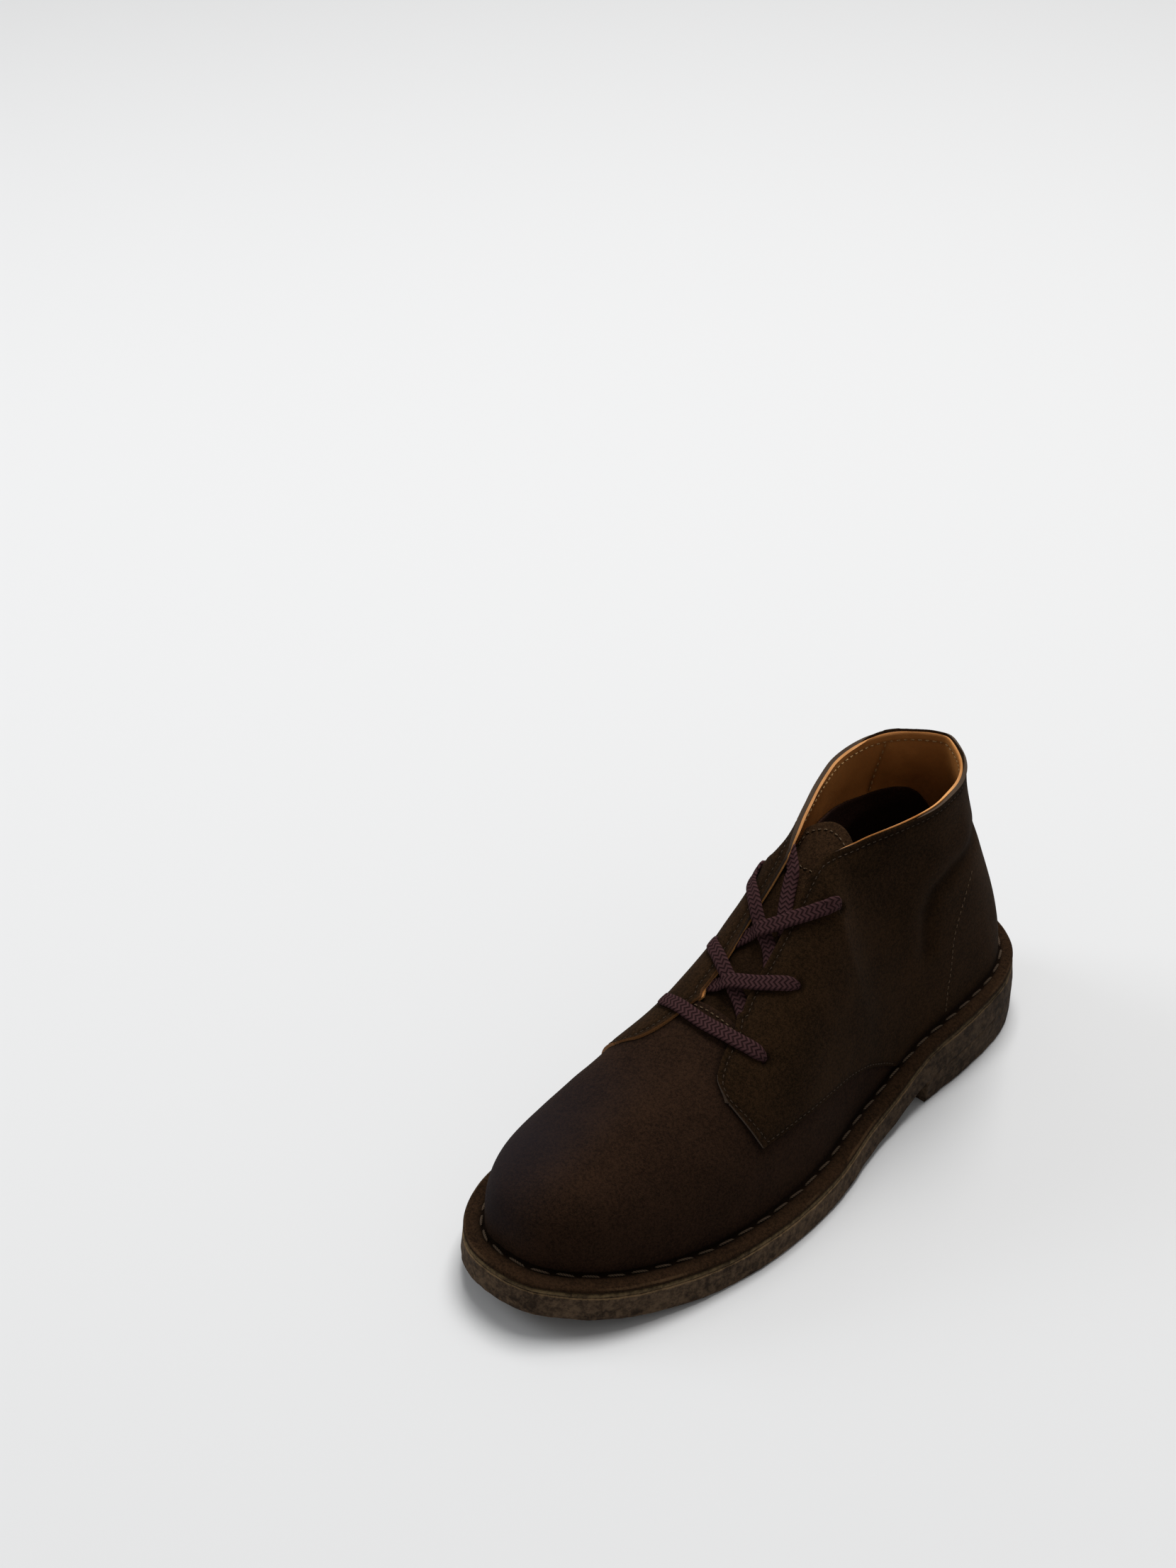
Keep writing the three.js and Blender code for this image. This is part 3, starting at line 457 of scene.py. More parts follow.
def wall(piece: bpy.types.Object, thickness: float, rim: float = 0.3, edge: int = 0) -> None:
    """Gives a skin its thickness inwards and rounds the edges.

    Args:
        piece: an object with an open skin.
        thickness: wall in millimetres.
        rim: rounding in millimetres.
        edge: number of material slots on to the one of the cut edge.
    """
    solid = piece.modifiers.new("wall", "SOLIDIFY")
    solid.thickness = thickness * METRE
    solid.offset = -1
    solid.use_even_offset = False
    solid.use_rim = True
    solid.material_offset_rim = edge
    bevel = piece.modifiers.new("rounded edge", "BEVEL")
    bevel.width = rim * METRE
    bevel.segments = 2
    bevel.limit_method = "ANGLE"
    bevel.angle_limit = math.radians(55)
    bevel.use_clamp_overlap = True


def add_node(tree: bpy.types.NodeTree, kind: str, sockets: dict[int | str, object],
             settings: dict[str, object] | None = None, output: int | str = 0) -> "Field":
    """Adds a node to a material.

    Args:
        tree: the material's nodes.
        kind: the node's type.
        sockets: values or links of its inputs, by name or number.
        settings: properties that are set first.
        output: the output that is handed back.

    Returns:
        The chosen output.
    """
    node = tree.nodes.new(kind)
    for key, value in (settings or {}).items():
        setattr(node, key, value)
    for key, value in sockets.items():
        socket = node.inputs[key]
        if isinstance(value, Field):
            tree.links.new(value.socket, socket)
        else:
            socket.default_value = (*value, 1) if socket.type == "RGBA" else value
    return Field(tree, node.outputs[output])


class Field:
    """A socket of a material's nodes, with arithmetic that adds Math nodes."""

    def __init__(self, tree: bpy.types.NodeTree, socket: bpy.types.NodeSocket) -> None:
        """Wraps a socket of a node tree."""
        self.tree = tree
        self.socket = socket

    def _maths(self, operation: str, *others: "Field | float", swap: bool = False) -> "Field":
        """A Math node.

        Args:
            operation: what it works out.
            others: further numbers after this one.
            swap: puts the numbers in the other order.

        Returns:
            Its result.
        """
        values = [self, *others]
        if swap:
            values.reverse()
        return add_node(self.tree, "ShaderNodeMath", dict(enumerate(values)), {"operation": operation})

    def __add__(self, other: "Field | float") -> "Field":
        """Sum."""
        return self._maths("ADD", other)

    __radd__ = __add__

    def __sub__(self, other: "Field | float") -> "Field":
        """Difference."""
        return self._maths("SUBTRACT", other)

    def __rsub__(self, other: "Field | float") -> "Field":
        """Difference, the other way round."""
        return self._maths("SUBTRACT", other, swap=True)

    def __mul__(self, other: "Field | float") -> "Field":
        """Product."""
        return self._maths("MULTIPLY", other)

    __rmul__ = __mul__

    def __truediv__(self, other: "Field | float") -> "Field":
        """Quotient."""
        return self._maths("DIVIDE", other)

    def step(self, low: float, high: float) -> "Field":
        """Smooth step from low to high."""
        return add_node(self.tree, "ShaderNodeMapRange", {"Value": self, "From Min": low, "From Max": high},
                        {"interpolation_type": "SMOOTHSTEP"}, "Result")

    def sine(self) -> "Field":
        """Sine."""
        return self._maths("SINE")

    def absolute(self) -> "Field":
        """Value without its sign."""
        return self._maths("ABSOLUTE")

    def wrap(self) -> "Field":
        """Fraction."""
        return self._maths("FRACT")


class Paint:
    """One material and the making of its nodes."""

    def __init__(self, name: str, roughness: float, **constants: float | tuple[float, ...]) -> None:
        """Starts a material.

        Args:
            name: the material's name.
            roughness: roughness where nothing is linked.
            constants: numbers or colours set on sockets of the shader, with _ for a blank.
        """
        self.material = bpy.data.materials.new(name)
        self.material.use_nodes = True
        self.tree = self.material.node_tree
        self.shader = self.tree.nodes["Principled BSDF"]
        self.shader.inputs["Roughness"].default_value = roughness
        for key, value in constants.items():
            self.shader.inputs[key.replace("_", " ")].default_value = value
        self._where: Field | None = None

    def node(self, kind: str, sockets: dict[int | str, object], settings: dict[str, object] | None = None,
             output: int | str = 0) -> Field:
        """Adds a node to this material, as add_node() does."""
        return add_node(self.tree, kind, sockets, settings, output)

    def where(self) -> Field:
        """Object coordinates, from one node for the whole material."""
        if self._where is None:
            self._where = self.node("ShaderNodeTexCoord", {}, output="Object")
        return self._where

    def noise(self, size: float, detail: float = 3, roughness: float = 0.55, stretch: Colour = (1, 1, 1),
              distortion: float = 0.0) -> Field:
        """Noise from 0 to 1.

        Args:
            size: width of its spots in millimetres.
            detail: how many finer layers it has.
            roughness: how strong they are.
            stretch: factors by which the spots are longer along x, y and z.
            distortion: how far they are bent.

        Returns:
            The noise at the object's own coordinates.
        """
        scale = tuple(1 / factor for factor in stretch)
        place = self.node("ShaderNodeMapping", {"Vector": self.where(), "Scale": scale})
        return self.node("ShaderNodeTexNoise", {"Vector": place, "Scale": 1 / METRE / size, "Detail": detail,
                                                "Roughness": roughness, "Distortion": distortion})

    def value(self, name: str) -> Field:
        """A named number of the mesh."""
        return self.node("ShaderNodeAttribute", {}, {"attribute_name": name}, "Fac")

    def mix(self, factor: Field, first: "Field | Colour", second: "Field | Colour") -> Field:
        """Mixes two colours: the first at a factor of 0, the second at 1."""
        # the mixer's inputs share their names, so its colour inputs and output are taken by number
        return self.node("ShaderNodeMix", {0: factor, 6: first, 7: second},
                         {"data_type": "RGBA", "clamp_factor": True}, 2)

    def colour(self, value: Field) -> None:
        """Links the base colour."""
        self.tree.links.new(value.socket, self.shader.inputs["Base Color"])

    def roughness(self, value: Field) -> None:
        """Links the roughness."""
        self.tree.links.new(value.socket, self.shader.inputs["Roughness"])

    def relief(self, height: Field, depth: float) -> None:
        """Links a bump of a height from 0 to 1 and a depth in millimetres."""
        bump = self.node("ShaderNodeBump", {"Height": height, "Distance": depth * METRE, "Strength": 1.0})
        self.tree.links.new(bump.socket, self.shader.inputs["Normal"])


SHEEN_TINT = (0.62, 0.5, 0.42, 1)


@dataclass(frozen=True)
class SuedeFinish:
    """Brushed suede: nap in two tones, rubbed places and painted shade."""

    name: str
    dark: Colour
    light: Colour
    rubbed: Colour
    grain: float = 1.25
    patch: float = 15.0
    depth: float = 0.5
    # colour of the painted bluish sheen on the toe's inner side
    cool: Colour = (0.0160, 0.0143, 0.0175)

    def make(self) -> bpy.types.Material:
        """The finish's material.

        Returns:
            A material that reads the mesh's dark and wear values and a third, which are painted shade at
            seams, folds and the flange, rubbed edges, and a painted bluish sheen on the toe.
        """
        paint = Paint(self.name, 0.95, Sheen_Weight=0.018, Sheen_Roughness=0.5, Sheen_Tint=SHEEN_TINT,
                      Specular_IOR_Level=0.02)
        patch = paint.noise(self.patch, 3, 0.6, distortion=0.6)
        cloud = paint.noise(self.patch * 3.2, 2, 0.5)
        fine = paint.noise(self.grain, 4, 0.7)
        fibre = paint.noise(self.grain * 0.45, 2, 0.8)
        tone = (patch.step(0.3, 0.72) * 0.26 + cloud.step(0.3, 0.7) * 0.3 + fine.step(0.34, 0.66) * 0.6
                + fibre.step(0.34, 0.66) * 0.5 - 0.33)
        base = paint.mix(tone, self.dark, self.light)
        # painted bluish sheen on the toe, from the mesh's third value
        base = paint.mix(paint.value("cool") * (0.3 + cloud * 0.65), base, self.cool)
        # painted shade: darkens towards a darker copy of the dark tone where the mesh's dark value is high
        shade = paint.value("dark")
        base = paint.mix(shade * 0.82, base, tuple(0.28 * c for c in self.dark))
        wear = (paint.value("wear") * (0.45 + fine * 1.1)).step(0.2, 0.95)
        base = paint.mix(wear, base, self.rubbed)
        paint.colour(base)
        paint.relief(fine * 0.5 + fibre * 0.3 + patch * 0.5, self.depth)
        return paint.material


@dataclass(frozen=True)
class LeatherFinish:
    """Smooth lining leather with a soft grain, stained clouds and darker places from the mesh's dark value,
    which on the lining are painted shade.
    """

    name: str
    tone: Colour
    stain: Colour
    roughness: float = 0.5
    grain: float = 0.6

    def make(self) -> bpy.types.Material:
        """The finish's material, which reads the mesh's dark value."""
        paint = Paint(self.name, self.roughness, Specular_IOR_Level=0.3)
        cloud = paint.noise(26, 3, 0.55)
        grain = paint.noise(self.grain, 3, 0.6)
        spots = paint.noise(7, 4, 0.7)
        base = paint.mix(cloud.step(0.35, 0.7) * 0.55 + spots.step(0.45, 0.75) * 0.25, self.tone, self.stain)
        # painted shade on the lining where the mesh's dark value is high
        base = paint.mix(paint.value("dark") * 0.8, base, tuple(0.3 * c for c in self.stain))
        paint.colour(base)
        paint.roughness(self.roughness - 0.08 + grain * 0.22)
        paint.relief(grain, 0.12)
        return paint.material


@dataclass(frozen=True)
class EdgeFinish:
    """The suede's cut edge: dark, and tan where the inner facing shows it."""

    name: str
    dark: Colour
    tan: Colour
    # in metres: the tan part lies at smaller x and smaller y than these
    tan_x: float = 0.003
    tan_y: float = -0.012

    def make(self) -> bpy.types.Material:
        """The finish's material, tan on the inner facing and dark elsewhere."""
        paint = Paint(self.name, 0.85, Sheen_Weight=0.22, Sheen_Roughness=0.5, Sheen_Tint=SHEEN_TINT,
                      Specular_IOR_Level=0.05)
        x, y = (paint.node("ShaderNodeSeparateXYZ", {"Vector": paint.where()}, output=axis) for axis in "XY")
        here = (self.tan_x - x).step(0, 0.001) * (self.tan_y - y).step(-0.004, 0.012)
        fuzz = paint.noise(0.7, 3, 0.7)
        paint.colour(paint.mix(here * (0.55 + fuzz * 0.6), self.dark, self.tan))
        paint.relief(fuzz, 0.2)
        return paint.material


@dataclass(frozen=True)
class CrepeFinish:
    """Crepe rubber: a crumbly grain, a darkening read from the mesh and rubbed tan edges."""

    name: str
    tone: Colour
    dark: Colour
    rubbed: Colour
    depth: float = 0.5

    def make(self) -> bpy.types.Material:
        """The finish's material, which reads the mesh's wear value along the edges and its dark value."""
        paint = Paint(self.name, 0.9, Specular_IOR_Level=0.08)
        crumbs = paint.noise(2.5, 5, 0.75)
        streak = paint.noise(5.5, 3, 0.6, stretch=(2.6, 2.6, 0.7))
        cloud = paint.noise(20, 3, 0.6)
        tone = (streak.step(0.3, 0.7) * 0.35 + cloud.step(0.3, 0.7) * 0.3
                + crumbs.step(0.37, 0.64) * 0.75 - 0.2)
        base = paint.mix(tone, self.dark, self.tone)
        wear = (paint.value("wear") * (0.1 + crumbs * 1.0 + cloud * 0.8)).step(0.42, 0.9)
        base = paint.mix(wear, base, self.rubbed)
        base = paint.mix(paint.value("dark") * 0.85, base, tuple(0.3 * c for c in self.dark))
        paint.colour(base)
        paint.relief(crumbs * 0.6 + streak * 0.6, self.depth)
        return paint.material


@dataclass(frozen=True)
class ThreadFinish:
    """Twisted thread, its ply running slantwise along each stitch."""

    name: str
    tone: Colour
    dark: Colour

    def make(self) -> bpy.types.Material:
        """The finish's material, its ply following the mesh's run and turn values."""
        paint = Paint(self.name, 0.75, Specular_IOR_Level=0.15)
        ply = (paint.value("run") * 5.5 + paint.value("turn") * 2.0).sine() * 0.5 + 0.5
        fuzz = paint.noise(0.8, 2, 0.7)
        paint.colour(paint.mix(ply * 0.6 + fuzz * 0.5 - 0.1, self.dark, self.tone))
        paint.relief(ply, 0.15)
        return paint.material


@dataclass(frozen=True)
class LaceFinish:
    """Flat woven lace with a herringbone of slanted yarns."""

    name: str
    tone: Colour
    dark: Colour
    pitch: float = 2.0

    def make(self) -> bpy.types.Material:
        """The finish's material: yarns slant away from the middle of each half of the lace's width."""
        paint = Paint(self.name, 0.9, Specular_IOR_Level=0.03)
        across = paint.value("across")
        band = (across + 1.0).wrap()
        slant = (band - 0.5).absolute() * 2.0
        phase = paint.value("run") / self.pitch + slant * 0.7
        yarn = ((phase * (2 * math.pi)).sine() * 0.5 + 0.5).step(0.05, 0.6)
        fuzz = paint.noise(0.9, 3, 0.7)
        paint.colour(paint.mix(yarn * 0.95 + fuzz * 0.3 - 0.15, self.dark, self.tone))
        paint.relief(yarn * 0.8 + fuzz * 0.3, 0.4)
        return paint.material


Finish = SuedeFinish | LeatherFinish | EdgeFinish | CrepeFinish | ThreadFinish | LaceFinish

SUEDE = SuedeFinish("vamp suede", (0.0072, 0.0037, 0.0023), (0.0240, 0.0118, 0.0065), (0.052, 0.029, 0.016))
QUARTER_SUEDE = SuedeFinish("quarter suede", (0.0070, 0.0037, 0.0016), (0.0255, 0.0126, 0.0054),
                            (0.056, 0.032, 0.016))
FLANGE_SUEDE = SuedeFinish("flange suede", (0.0070, 0.0037, 0.0019), (0.0275, 0.0140, 0.0067),
                           (0.056, 0.032, 0.016))
TONGUE_SUEDE = SuedeFinish("tongue suede", (0.0085, 0.0043, 0.0020), (0.0330, 0.0165, 0.0075),
                           (0.060, 0.034, 0.017))
INNER_SUEDE = SuedeFinish("inner suede", (0.0170, 0.0080, 0.0062), (0.0480, 0.0225, 0.0165),
                          (0.080, 0.042, 0.026))
CUT_EDGE = EdgeFinish("cut edge", (0.044, 0.029, 0.019), (0.20, 0.082, 0.024))
RAW_EDGE = LeatherFinish("lining edge", (0.60, 0.275, 0.085), (0.38, 0.155, 0.042), 0.7, 0.5)
LINING = LeatherFinish("lining leather", (0.54, 0.222, 0.058), (0.28, 0.100, 0.022), 0.42)
SOCK = LeatherFinish("sock leather", (0.014, 0.0070, 0.0048), (0.007, 0.0036, 0.0026), 0.42)
CREPE = CrepeFinish("crepe wall", (0.090, 0.0580, 0.0345), (0.0205, 0.0128, 0.0080),
                    (0.200, 0.128, 0.064), 0.9)
MIDSOLE = CrepeFinish("midsole edge", (0.115, 0.078, 0.037), (0.032, 0.020, 0.0100),
                      (0.34, 0.215, 0.100), 0.2)
THIN_THREAD = ThreadFinish("thin thread", (0.052, 0.031, 0.016), (0.012, 0.007, 0.004))
LINING_THREAD = ThreadFinish("lining thread", (0.55, 0.34, 0.15), (0.24, 0.13, 0.05))
PALE_THREAD = ThreadFinish("pale thread", (0.125, 0.078, 0.042), (0.030, 0.018, 0.009))
WELT_THREAD = ThreadFinish("flange thread", (0.086, 0.054, 0.031), (0.010, 0.006, 0.0035))
LACE = LaceFinish("woven lace", (0.044, 0.0200, 0.0205), (0.0145, 0.0063, 0.0066))


@dataclass(frozen=True)
class Stitch:
    """A kind of stitch: its thread, the way from one to the next and its own measures, in millimetres.

    The sink is the share of its height that lies in the surface. The slant turns it off the row, in radians.
    """

    thread: ThreadFinish
    pitch: float
    length: float
    width: float
    sink: float
    slant: float = 0.0


FLANGE_STITCH = Stitch(WELT_THREAD, 9.6, 8.3, 1.15, 0.25, 0.09)
SEAM_STITCH = Stitch(THIN_THREAD, 2.6, 1.9, 0.5, 0.4)
LINING_STITCH = Stitch(LINING_THREAD, 3.0, 2.1, 0.75, 0.2)
COUNTER_STITCH = Stitch(PALE_THREAD, 2.8, 2.0, 0.55, 0.35)
VAMP_STITCH = Stitch(PALE_THREAD, 2.6, 1.9, 0.6, 0.2)
TONGUE_STITCH = Stitch(PALE_THREAD, 2.6, 1.9, 0.6, 0.25)
PATCH_STITCH = Stitch(PALE_THREAD, 2.4, 1.8, 0.55, 0.3)


class Kit:
    """Materials made once and shared, and the putting of a piece on the boot."""

    def __init__(self) -> None:
        """Starts with no material made."""
        self._made: dict[str, bpy.types.Material] = {}

    def material(self, finish: Finish) -> bpy.types.Material:
        """The material of a finish."""
        if finish.name not in self._made:
            self._made[finish.name] = finish.make()
        return self._made[finish.name]

    def dress(self, piece: bpy.types.Object, slot: Slot, *finishes: Finish,
              stands_for: tuple[str, ...] = ()) -> None:
        """Puts a piece on the boot.

        Args:
            piece: the finished object.
            slot: not used.
            finishes: its materials, the first for the outside.
            stands_for: solids that it replaces.
        """
        for finish in finishes:
            piece.data.materials.append(self.material(finish))
        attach(piece, "root")
        if stands_for:
            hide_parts(*stands_for)
        log.info("%s: %d vertices", piece.name, len(piece.data.vertices))

    def sew(self, name: str, path: np.ndarray, out: np.ndarray, kind: Stitch, seed: int = 3) -> None:
        """Puts a row of stitches on the boot.

        Args:
            name: the piece's name.
            path: points that the row follows.
            out: unit vectors out of the surface at those points.
            kind: the kind of stitch.
            seed: for the small differences between stitches.
        """
        row = stitches(name, path, out, kind, seed)
        self.dress(row.build(merge=STITCH_MERGE), Slot.MIDSOLE, kind.thread)


@dataclass
class Sole:
    """Crepe outsole and heel lift, midsole and sock."""

    last: Last
    kit: Kit
    outsole_thickness: float = 11.2
    midsole_thickness: float = 1.6
    heel_length: float = 93.0
    # how far the sock lies within the feather line
    sock_inset: float = 2.6
    sock_thickness: float = 3.0
    # how far the crepe stands out past the outline, and the rounding of its foot
    flare: float = 0.9
    edge: float = 1.0

    def ring(self, index: np.ndarray, margin: float | np.ndarray, height: np.ndarray) -> np.ndarray:
        """Points round the outline.

        Args:
            index: numbers of the outline's points.
            margin: how far they are moved out.
            height: their height.

        Returns:
            The points in the boot's frame.
        """
        last = self.last
        plan = last.outline[index] + last.out[index] * np.broadcast_to(margin, (len(index),))[:, None]
        return last.raised(plan, height)

    def crumble(self, points: np.ndarray, out: np.ndarray, depth: float) -> np.ndarray:
        """Moves points in and out along a direction by two sizes of noise, as far as a depth."""
        push = lattice_noise(points, 7, 5) * 0.6 + lattice_noise(points, 2.6, 6) * 0.4
        return points + np.broadcast_to(out, points.shape) * (push * depth)[..., None]

    def outward(self, index: np.ndarray) -> np.ndarray:
        """Level unit vectors out of the wall at points of the outline."""
        return np.concatenate([self.last.out[index] * [1, -1], np.zeros((len(index), 1))], 1)

    def heelward_darkening(self, points: np.ndarray) -> np.ndarray:
        """Darkness of the walls, which grows from the ball of the foot to the heel."""
        most, darkening_start, darkening_full = 0.42, -50.0, 60.0
        return most * smooth(points[..., 1], darkening_start, darkening_full)

    def build(self) -> None:
        """Makes the four pieces."""
        self.outsole()
        self.heel()
        self.midsole()
        self.sock()

    def slab(self, name: str, index: np.ndarray, rows: list[tuple], depth: float) -> Sheet:
        """A slab from rings.

        Args:
            name: the piece's name.
            index: points of the outline that it follows.
            rows: margin, height and wear of each ring, from the foot up.
            depth: how far its wall is crumbled.

        Returns:
            The sheet, closed above and below.
        """
        sheet = Sheet(name)
        rings = np.stack([self.ring(index, margin, height) for margin, height, _ in rows])
        moved = self.crumble(rings, self.outward(index), depth)
        wear = np.array([w for _, _, w in rows])[:, None]
        sheet.grid(moved, around=True, flip=True, wear=wear, dark=self.heelward_darkening(moved))
        half = len(index) // 2
        across = np.linspace(0, 1, 9)
        rubbed = 0.3 * np.abs(2 * across - 1)[:, None] ** 6
        self.cap(sheet, moved[0], half + 1, across, rubbed, False)
        self.cap(sheet, moved[-1], half + 1, across, rubbed, True)
        return sheet

    def cap(self, sheet: Sheet, ring: np.ndarray, count: int, across: np.ndarray, wear: np.ndarray | float,
            flip: bool) -> None:
        """Closes a slab: each ring point is joined to its partner over the boot's axis by rows of points.

        Args:
            sheet: the slab.
            ring: its lowest or highest ring, starting at the back of the heel.
            count: points of the outer half.
            across: shares of the way over at which points are made.
            wear: how rubbed the cap is.
            flip: turns the faces over.
        """
        one = ring[:count]
        other = np.vstack([ring[:1], ring[len(ring) // 2:][::-1]])[:count]
        t = across[:, None, None]
        sheet.grid(one[None] * (1 - t) + other[None] * t, flip=flip, wear=wear, dark=0)

    def outsole(self) -> None:
        """Crepe under the whole foot, with a worn foot and a shaved top edge."""
        last = self.last
        index = np.arange(len(last.outline))
        top = last.midsole_top(last.outline[:, 1]) - self.midsole_thickness - last.SEAT
        low = top - self.outsole_thickness
        f = self.flare
        # the worn edge, which is sharp where the heel lift covers it
        e = np.where(last.outline[:, 1] < self.heel_length, 0.2, self.edge)
        rows = [(f - e, low, 0.4), (f - 0.3 * e, low + 0.3 * e, 0.5), (f, low + 1.2 * e, 0.3)]
        rows += [(f * (1 - t * 0.9), low + (top - low) * (0.14 + 0.72 * t), 0.0 if 0.1 < t < 0.9 else 0.25)
                 for t in np.linspace(0, 1, 7)]
        rows += [(0.05, top - 0.7, 0.55), (-0.15, top - 0.25, 0.8), (-0.5, top, 0.5)]
        sheet = self.slab("outsole_crepe", index, rows, 0.32)
        self.kit.dress(sheet.build(), Slot.CREPE, CREPE, stands_for=("outsole",))

    def heel(self) -> None:
        """Crepe lift under the heel seat, straight at the breast."""
        last = self.last
        s = last.outline[:, 1]
        keep = np.nonzero(s <= self.heel_length)[0]
        split = int(np.nonzero(np.diff(keep) > 1)[0][0]) + 1
        outer, inner = keep[:split], keep[split:]
        half = min(len(outer), len(inner) + 1)
        outer = outer[:half]
        inner = inner[-(half - 1):]
        index = np.concatenate([outer, inner])
        top = last.midsole_top(s[index]) - self.midsole_thickness - self.outsole_thickness - 1.1 * last.SEAT
        f, e = self.flare, self.edge
        # margin, height and wear of the rings, whose first heights are millimetres and the rest shares
        levels = [(f - e, 0.0, 0.4), (f - 0.3 * e, 0.25, 0.5), (f, e, 0.3), (f + 0.05, 0.3, 0.0),
                  (f, 0.55, 0.0), (f, 0.8, 0.0), (f, 1.0, 0.0)]
        rows = []
        in_millimetres = 3
        for k, (margin, level, wear) in enumerate(levels):
            height = np.full(len(index), level) if k < in_millimetres else top * level
            rows.append((margin, height, wear))
        sheet = Sheet("heel_crepe")
        rings = np.stack([self.ring(index, margin, height) for margin, height, _ in rows])
        rings[:, half - 1: half + 1, 1] = last.LENGTH / 2 - self.heel_length
        wall_points = self.crumble(rings, self.outward(index), 0.3)
        wear = np.array([w for _, _, w in rows])[:, None]
        order = np.concatenate([np.arange(half, len(index)), np.arange(half)])
        walls = wall_points[:, order]
        sheet.grid(walls, flip=True, wear=wear, dark=self.heelward_darkening(walls))
        across = np.linspace(0, 1, 24)
        t = across[None, :, None]
        breast = wall_points[:, half - 1][:, None] * (1 - t) + wall_points[:, half][:, None] * t
        breast = self.crumble(breast, np.array([0.0, -1.0, 0.0]), 0.2)
        breast[:, 0] = wall_points[:, half - 1]
        breast[:, -1] = wall_points[:, half]
        sheet.grid(breast, flip=True, wear=wear * 0.8, dark=0.15)
        self.cap(sheet, wall_points[0], half, across, 0.2, False)
        self.cap(sheet, wall_points[-1], half, across, 0.2, True)
        self.kit.dress(sheet.build(), Slot.CREPE, CREPE, stands_for=("heel",))

    def midsole(self) -> None:
        """Thin light layer between the flange and the crepe."""
        last = self.last
        index = np.arange(len(last.outline))
        top = last.midsole_top(last.outline[:, 1])
        low = top - self.midsole_thickness - last.SEAT * 0.8
        rows = [(-1.2, low, 0.0), (-0.35, low + 0.1, 0.2), (-0.15, low + 0.5, 0.4), (-0.2, top - 0.4, 0.4),
                (-0.5, top - 0.05, 0.2), (-1.4, top, 0.0)]
        sheet = self.slab("midsole_layer", index, rows, 0.22)
        self.kit.dress(sheet.build(), Slot.MIDSOLE, MIDSOLE, stands_for=("midsole",))

    def sock(self) -> None:
        """Smooth sock in the boot, rounded at its edge."""
        last = self.last
        index = np.arange(0, len(last.outline), 2)
        base = last.midsole_top(last.feather[index, 1]) + last.SEAT
        inset = -(np.linalg.norm(last.outline[index] - last.feather[index], axis=1) + self.sock_inset)
        top = base + self.sock_thickness
        rows = [(inset, base, 0), (inset, top - 0.4, 0), (inset - 0.6, top, 0), (inset - 4, top, 0)]
        sheet = self.slab("insole_sock", index, rows, 0.0)
        self.kit.dress(sheet.build(), Slot.INSOLE, SOCK, stands_for=("insole",))


def stitches(name: str, path: np.ndarray, out: np.ndarray, kind: Stitch, seed: int) -> Sheet:
    """A row of stitches.

    Args:
        name: the piece's name.
        path: points that the row follows.
        out: unit vectors out of the surface at those points.
        kind: the kind of stitch.
        seed: for the small differences between stitches.

    Returns:
        A sheet with one small capsule a stitch: seven rings of eight points, the radius following
        (1 - |t|^3)^(1/2) along it and the middle dipping at both ends.
    """
    sheet = Sheet(name)
    run = walked(path)
    count = max(int(run[-1] / kind.pitch), 1)
    rng = np.random.default_rng(seed)
    middles = (np.arange(count) + 0.5) * run[-1] / count
    t = np.linspace(-1, 1, 7)
    spin = np.linspace(0, 2 * np.pi, 8, endpoint=False)
    swell = np.sqrt(np.maximum(1 - np.abs(t) ** 3, 0))
    for middle in middles:
        reach = kind.length * (1 + rng.uniform(-0.08, 0.08)) / 2
        at = np.clip(middle + t * reach, 0, run[-1])
        spine = np.stack([np.interp(at, run, path[:, k]) for k in range(3)], 1)
        up = unit(np.stack([np.interp(at, run, out[:, k]) for k in range(3)], 1))
        along = unit(np.gradient(spine, axis=0))
        across = unit(np.cross(along, up))
        turn = kind.slant + rng.uniform(-0.05, 0.05)
        spine = spine + across * (t * reach * math.tan(turn))[:, None]
        dip = (np.abs(t) ** 4) * kind.width * 0.45
        spine = spine + up * (kind.width * (0.5 - kind.sink) - dip)[:, None]
        radius = kind.width / 2 * swell
        ring = (spine[:, None] + across[:, None] * (np.cos(spin)[None, :, None] * radius[:, None, None])
                + up[:, None] * (np.sin(spin)[None, :, None] * (0.8 * radius)[:, None, None]))
        sheet.grid(ring, around=True, flip=True, run=at[:, None], turn=spin[None])
    return sheet


